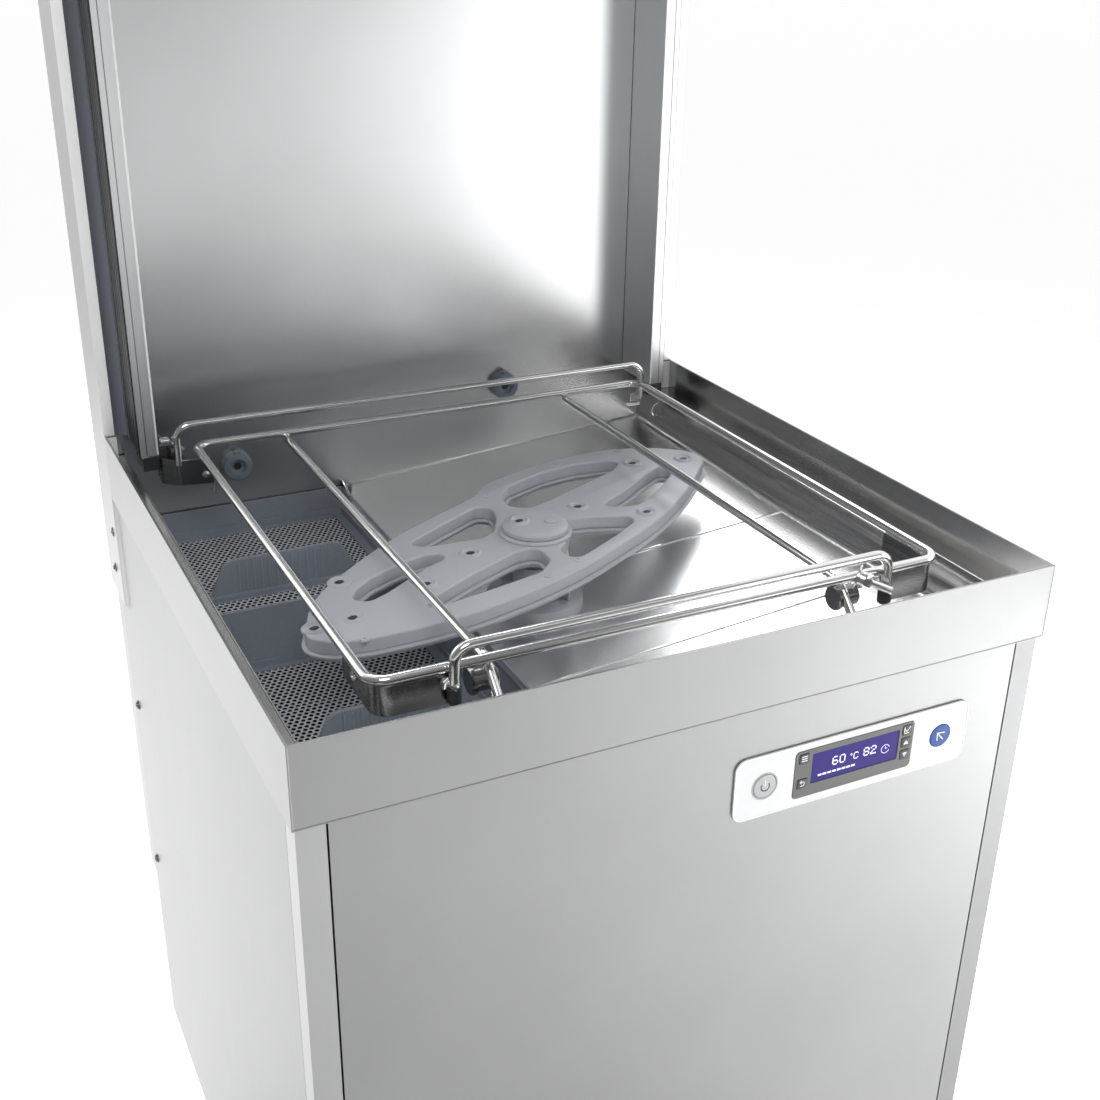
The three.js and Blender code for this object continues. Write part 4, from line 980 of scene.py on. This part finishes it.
def column_details():
    """Grooves in the posts, drawn as ribs in painted shade with beads in a painted highlight, the blocks under
    them, and what fills the slots beside and outside them, with liners whose tone is a painted reflection and
    white strips of painted light over the seams.
    """
    ribs, highlight_beads, blocks, seals, reflection_liners, seam_light_strips, ramps = (Shape() for _ in range(7))
    wall = extent("back_wall")[0].y
    for way, side in ((-1, "left"), (1, "right")):
        post, cover, panel = (extent(f"{node}_{side}") for node in ("column_post", "column_cover",
                                                                    "side_panel"))
        low, high = post
        outward = 0 if way < 0 else 1
        outer, inner = post[outward].x, post[1 - outward].x
        skin, flush = cover[outward].x, panel[outward].x
        full = (low.z + 1, high.z - 1)
        # Ribs on each post's outer face and one across its front face stand for grooves; their darker steel is
        # painted shade in the grooves.
        for y in (584, 594, 604, 614, 624):
            ribs.add(box(sorted((outer, outer + way * 0.9)), (y, y + 3.2), full))
        x = outer + (inner - outer) * 0.34
        ribs.add(box((x - 0.5, x + 0.5), (low.y - 0.15, low.y + 0.3), full))
        # A bead at the inner edge of each post's front carries a painted highlight line.
        x = inner + (outer - inner) * 0.06
        highlight_beads.add(box((x - 0.9, x + 0.9), (low.y - 0.4, low.y + 0.3), full))
        blocks.add(box((low.x + 0.6, high.x - 0.6), (low.y + 1, low.y + 30), (low.z - 16, low.z - 0.8)))
        seals.add(box(sorted((outer + way * 1.1, outer + way * 0.1)), (577, 581), (low.z, high.z - 1)))
        # A blue grey sheet on the wall beside each post, its tone a painted reflection.
        reflection_liners.add(box(sorted((outer + way * 0.4, outer + way * 17.0)), (wall - 0.9, wall - 0.1),
                       (low.z + 2, high.z - 2)))
        # The cover stands out from the side panel; a slope leads from one to the other.
        foot = cover[0].z + 0.5
        slope = [(flush, 598.5), (skin - way * 0.05, 607.9), (flush, 607.9)]
        ramps.add(plate(slope[::way], (), -66 - foot, 0.02), at((0, 0, foot)))
        # White strips at the front edge of each column cover, below the rim: painted light in place of the seam's
        # shadow.
        seam_light_strips.add(box(sorted((skin - way * 1.8, skin - way * 11)), (604.2, 605.8), (-32.5, -1.5)))
    reflection_liners.piece("slot_reflection_liners", "grey_plastic", "slot_painted_reflection", bevel=0.2)
    ramps.piece("cover_ramps", "brushed_steel", "brushed_upright_lit")
    seam_light_strips.piece("seam_painted_light_strips", "satin_steel", "white_print_and_painted_light", bevel=0.2)
    ribs.piece("post_grooves", "satin_steel", "shaded_post_steel", bevel=0.2)
    highlight_beads.piece("post_highlight_beads", "satin_steel", "painted_highlight_edge", bevel=0.2)
    blocks.piece("post_blocks", "black_plastic", "strap_steel", bevel=0.8)
    seals.piece("post_seals", "black_plastic", bevel=0.2)


def side_screws():
    """Screws on both sides: two on each column cover, one of them with a stud, and two below."""
    screws = Shape()
    for outward, side, way in ((0, "left", -1), (1, "right", 1)):
        for node, y, z, stud, flat in (("column_cover_", 629, -110, 0, 0.45),
                                       ("column_cover_", 641, -155, 2.6, 0.45),
                                       ("side_panel_", 621, -310, 0, 0.85),
                                       ("side_panel_", 623, -512, 0, 0.85)):
            skin = extent(node + side)[outward].x
            place = at((skin, y, z), (way, 0, 0)) @ Matrix.Diagonal((1, 1, flat, 1))
            screws.add(screw(4.2, 5.4, stud), place)
    screws.piece("side_screws", "satin_steel", "strap_steel")


# ---- control panel -----------------------------------------------------------------------------

GLYPHS = {
    "6": "01110 10000 10000 11110 10001 10001 01110",
    "0": "01110 10001 10001 10001 10001 10001 01110",
    "8": "01110 10001 10001 01110 10001 10001 01110",
    "2": "01110 10001 00001 00110 01000 10000 11111",
    "C": "01110 10001 10000 10000 10000 10001 01110",
    "o": "010 101 010",
}


def pixels(shape, text, x, z, size, y):
    """Writes characters as lit dots, the lower left corner of the first at x and z."""
    for char in text:
        rows = GLYPHS[char].split()
        for r, row in enumerate(rows):
            for c, lit in enumerate(row):
                if lit == "1":
                    left = x + c * size
                    foot = z + (len(rows) - 1 - r) * size
                    shape.add(box((left, left + size * 0.94), (y - 0.08, y), (foot, foot + size * 0.94)))
        x += (len(rows[0]) + 1) * size


def strokes(shape, lines, origin, y, width=0.55):
    """Draws an icon from straight strokes, each a flat bar raised a little from the face at y."""
    ox, oz = origin
    for x0, z0, x1, z1 in lines:
        run = Vector((x1 - x0, z1 - z0))
        side = Vector((-run.y, run.x)).normalized() * width / 2
        along = run.normalized() * width / 2
        loop = [Vector((x0, z0)) - along - side, Vector((x1, z1)) + along - side,
                Vector((x1, z1)) + along + side, Vector((x0, z0)) - along + side]
        shape.add(plate([(ox + p.x, oz + p.y) for p in loop], (), 0.12, 0.02), front_at(y))


def arc_strokes(shape, radius, start, end, origin, y, width=0.55, steps=14):
    angles = [math.radians(start + (end - start) * k / steps) for k in range(steps + 1)]
    ring = [(radius * math.cos(a), radius * math.sin(a)) for a in angles]
    strokes(shape, [(*a, *b) for a, b in zip(ring, ring[1:])], origin, y, width)


def round_button(name, node, body, slot, dome):
    """A domed button; gives back its centre in the drawing's plane and the height of its face."""
    low, high = extent(node)
    centre = (low + high) / 2
    radius = (high.x - low.x) / 2
    dome_profile = [(0, -7.8), (radius, -7.8), (radius, -1.0), (radius - 0.25, -0.45), (radius - 0.8, 0),
                    (radius * 0.5, dome), (0, dome * 1.3)]
    Shape().add(lathe(dome_profile, 64), at((centre.x, low.y, centre.z), FRONT)).piece(
        name, slot, replaces=[node], body=body, smooth=25)
    return (centre.x, centre.z), low.y


def surround(name, slot, material, centre, outer, inner, sides, thickness, edge, y):
    """A flat ring round a button."""
    ring = plate(circle(*centre, outer, sides), [circle(*centre, inner, sides)], thickness, edge)
    Shape().add(ring, front_at(y)).piece(name, slot, material)


def control_panel():
    """The border of the fascia, the buttons and keys with their marks, and the display's figures."""
    low, high = extent("control_fascia")
    face, rim = low.y, 0.9
    outline = rounded(low.x, low.z, high.x, high.z, 10, 10)
    inner = rounded(low.x + rim, low.z + rim, high.x - rim, high.z - rim, 9.1, 10)
    Shape().add(plate(outline, [inner], 0.3, 0.08), front_at(face)).piece("fascia_border", "fascia",
                                                                          "white_print_and_painted_light")

    centre, y = round_button("power_switch_cap", "power_button", "power_switch", "power_pale", 0.15)
    icon = Shape()
    arc_strokes(icon, 3.8, 130, 410, centre, y - 0.1, 1.0, 22)
    strokes(icon, [(0, 0.2, 0, 5.0)], centre, y - 0.1, 1.0)
    icon.piece("power_icon", "power_pale", "white_print_and_painted_light", body="power_switch")
    surround("power_surround", "fascia", "power_pale", centre, 12.2, 11.2, 48, 0.25, 0.06, face)

    centre, y = round_button("start_switch_cap", "start_button", "start_switch", "start_blue", 0.2)
    icon = Shape()
    strokes(icon, [(-3.6, 3.4, 3.6, 2.6), (-3.6, 3.4, -2.9, -3.6), (-3.0, 2.8, 2.8, -3.6)], centre,
            y - 0.15, 0.95)
    icon.piece("start_icon", "start_blue", "white_print_and_painted_light", body="start_switch")
    surround("start_ring", "start_blue", "ring_glow", centre, 12.6, 11.1, 64, 0.35, 0.1, face)

    low, high = extent("display_screen")
    lit = Shape()
    wide = high.x - low.x
    for text, share, rise, size in (("60", 0.235, 11.0, 1.15), ("o", 0.44, 15.2, 0.75),
                                    ("C", 0.48, 11.0, 0.95), ("82", 0.595, 11.0, 1.15)):
        pixels(lit, text, low.x + wide * share, low.z + rise, size, low.y)
    clock = (low.x + wide * 0.855, low.z + 12.4)
    arc_strokes(lit, 3.9, 20, 335, clock, low.y, 0.5, 18)
    strokes(lit, [(0, 0, 0, 2.4), (0, 0, 1.7, 0.6)], clock, low.y, 0.5)
    bar_z = low.z + 4.6
    for k in range(8):
        x = low.x + wide * 0.08 + k * 4.6
        lit.add(box((x, x + 3.6), (low.y - 0.08, low.y), (bar_z, bar_z + 1.7)))
    lit.piece("display_digits", "display", "digits")

    arrow = [(-1.8, -1.4, 1.8, -1.4), (-1.5, -0.9, 0, 1.6), (1.5, -0.9, 0, 1.6), (-0.8, -0.7, 0.8, -0.7)]
    key_icons = {
        "key_menu": [(-2.3, 2, 2.3, 2), (-2.3, 0, 2.3, 0), (-2.3, -2, 2.3, -2)],
        "key_back": [(-2.2, 1.6, 1.4, 1.6), (1.4, 1.6, 2.2, 0), (2.2, 0, 1.4, -1.8),
                     (1.4, -1.8, -1.2, -1.8), (-2.2, 1.6, -0.9, 2.8), (-2.2, 1.6, -0.9, 0.4)],
        "key_confirm": [(-2.0, 0.4, -0.4, -1.4), (-0.4, -1.4, 2.4, 2.6), (-2.9, 2.6, -2.9, -2.8),
                        (-2.9, -2.8, 1.4, -2.8)],
        "key_up": arrow,
        "key_down": [(x0, -z0, x1, -z1) for x0, z0, x1, z1 in arrow],
    }
    for node, lines in key_icons.items():
        low, high = extent(node)
        centre = (low + high) / 2
        body = node.removeprefix("key_") + "_key"
        cap = plate(rounded(low.x, low.z, high.x, high.z, 1.3, 5), (), high.y - low.y, 0.35, steps=3)
        Shape().add(cap, front_at(high.y)).piece(node + "_cap", "key_rubber", replaces=[node], body=body)
        icon = Shape()
        strokes(icon, lines, (centre.x, centre.z), low.y, 0.75)
        icon.piece(node + "_icon", "key_rubber", "white_print_and_painted_light", body=body)


# ---- hood --------------------------------------------------------------------------------------


def hood_parts():
    """The handle with its bolted flanges, and the two lift springs, drawn as fixed coils that do not stretch as
    the hood comes down.
    """
    low, high = extent("hood_handle")
    radius, flange_bolts, bolt_circle = 12.5, 3, 17.4
    z = (low.z + high.z) / 2
    centre = (low.x + high.x) / 2
    ends = (centre - 232, centre + 232)
    front, wall = low.y + radius, high.y
    run = [(ends[0], wall - 1, z), (ends[0], front, z), (ends[1], front, z), (ends[1], wall - 1, z)]
    grip, bolts = Shape().add(rod(filleted(run, 46, steps=12), radius - 0.05, 40)), Shape()
    for x in ends:
        grip.add(lathe([(0, 0), (21.5, 0), (22, 0.6), (21.6, 2.2), (19, 3.6), (13, 4), (0, 4)], 48),
                 at((x, wall, z), FRONT))
        for k in range(flange_bolts):
            angle = math.radians(90 + 360 / flange_bolts * k)
            place = (x + bolt_circle * math.cos(angle), wall - 3.2, z + bolt_circle * math.sin(angle))
            bolts.add(lathe([(0, 0), (2.6, 0), (2.6, 1.2), (1.8, 1.8), (0, 1.9)], 16), at(place, FRONT))
    grip.piece("handle_tube", "polished_steel", replaces=["hood_handle"], body="hood", smooth=40)
    bolts.piece("handle_bolts", "polished_steel", body="hood")

    coil_radius, wire, turns, steps = 7.9, 1.1, 58, 14
    for side in ("left", "right"):
        low, high = extent("lift_spring_" + side)
        axis = (low + high) / 2
        drop = (high.z - low.z - 2 * wire) / (turns * steps)
        path = []
        for k in range(turns * steps + 1):
            angle = math.tau * k / steps
            path.append((axis.x + (coil_radius - wire) * math.cos(angle),
                         axis.y + (coil_radius - wire) * math.sin(angle), high.z - wire - drop * k))
        coil = Shape().add(rod(path, wire, 6, nose=0.3))
        made = coil.piece("spring_coil_" + side, "spring_steel", body=None)
        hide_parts("lift_spring_" + side)
        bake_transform(made)


# ---- feet and connections ----------------------------------------------------------------------


def feet():
    """Four levelling feet: a pad, a threaded stem, a lock nut and the sleeve that it screws into."""
    for node in ("foot_front_left", "foot_front_right", "foot_rear_left", "foot_rear_right"):
        low, high = extent(node)
        stand = at(((low.x + high.x) / 2, (low.y + high.y) / 2, low.z))
        height = high.z - low.z
        leg = Shape()
        leg.add(lathe([(0, 0), (22.5, 0), (23.6, 0.8), (24, 2.5), (23.6, 6), (21, 9), (12, 14), (10, 18),
                       (9, 22), (9, 26), (0, 26)], 40), stand)
        leg.add(threaded(8.6, 25, 90, 2.5), stand)
        leg.add(nut(9, 27), stand @ at((0, 0, 84)))
        leg.add(lathe([(0, 93), (17, 93), (18.5, 95), (20, 108), (20, height), (0, height)], 40), stand)
        leg.piece(node + "_leg", "satin_steel", replaces=[node])


def rearward(node):
    """The matrix that points a shape out of the rear from a CAD node, and the node's length."""
    low, high = extent(node)
    return at(((low.x + high.x) / 2, low.y, (low.z + high.z) / 2), BACK), high.y - low.y


def rear_fittings():
    """The threaded water inlet, the barbed drain spigot and the cable gland."""
    out, length = rearward("water_inlet")
    thread = [(8, 0), (13.2, 0), (13.2, 16), (13.2, 22)]
    for k in range(8):
        y = 23 + k * 2.3
        thread += [(12.5, y), (13.2, y + 1.1)]
    thread += [(12.4, length), (8, length), (8, 0)]
    Shape().add(nut(6, 31), out @ at((0, 0, 16))).add(lathe(thread, 40), out).piece(
        "inlet_union", "satin_steel", replaces=["water_inlet"])

    out, length = rearward("drain_outlet")
    barbs = [(17, 0), (20, 0), (20, 16), (27, 16), (27, 20), (21, 21)]
    for k in range(3):
        y = 24 + k * 7
        barbs += [(18.4, y), (20, y + 5), (18.4, y + 5.4)]
    barbs += [(18, length), (17, length), (17, 0)]
    Shape().add(lathe(barbs, 48), out).piece("drain_spigot", "black_plastic", replaces=["drain_outlet"])

    out, length = rearward("cable_gland")
    gland, grips = Shape(), 12
    sleeve = [(6, 0), (12, 0), (12, 22), (11.6, 30), (9.4, length), (6, length), (6, 0)]
    gland.add(lathe(sleeve, 40), out)
    gland.add(lathe([(12.1, 16), (17, 16), (17, 20), (12.1, 20), (12.1, 16)], 6), out)
    for k in range(grips):
        turn = Matrix.Rotation(math.tau * k / grips, 4, "Z")
        gland.add(box((11.4, 12.9), (-1, 1), (22, 32)), out @ turn)
    gland.piece("gland_nut", "black_plastic", replaces=["cable_gland"])


def rear_screws():
    low, high = extent("rear_cover")
    screws = Shape()
    for x in (low.x + 14, high.x - 14):
        for z in (low.z + 20, low.z + 380, high.z - 400, high.z - 20):
            head = lathe([(0, -0.4), (3.4, -0.4), (3.4, -0.1), (0, 0)], 20)
            screws.add(head, at((x, high.y, z), BACK))
    screws.piece("rear_cover_screws", "satin_steel")


def apron_hem():
    """The folded edges of the apron's front."""
    low, high = extent("tank_rim")
    foot = low.z
    hem = Shape()
    hem.add(rod([(low.x + 0.8, 0.5, foot + 0.9), (high.x - 0.8, 0.5, foot + 0.9)], 0.9, 12))
    for x in (low.x + 0.9, high.x - 0.9):
        hem.add(rod([(x, 0.5, foot + 1), (x, 0.5, -0.8)], 0.8, 12))
    hem.piece("apron_hem", "brushed_steel")


def back_sheet():
    """The wash chamber's back wall, one sheet from the columns' top down into the tank."""
    low, high = extent("back_wall")
    tank_low, tank_high = extent("tank_shell")
    fold = -32
    sheet = Shape().add(box((low.x, high.x), (low.y, high.y), (fold, high.z)))
    sheet.add(box((tank_low.x + 1.8, tank_high.x - 1.8), (low.y, high.y), (-112, fold)))
    sheet.piece("chamber_back", "satin_steel", "wall_steel", replaces=["back_wall"])


make_camera()
make_studio()
dress_cad()
rack_guide()
rack_rear_stop()
wash_arms()
supply_parts()
tank_basin()
strainers()
wall_nozzles()
column_details()
side_screws()
control_panel()
hood_parts()
feet()
rear_fittings()
rear_screws()
apron_hem()
back_sheet()
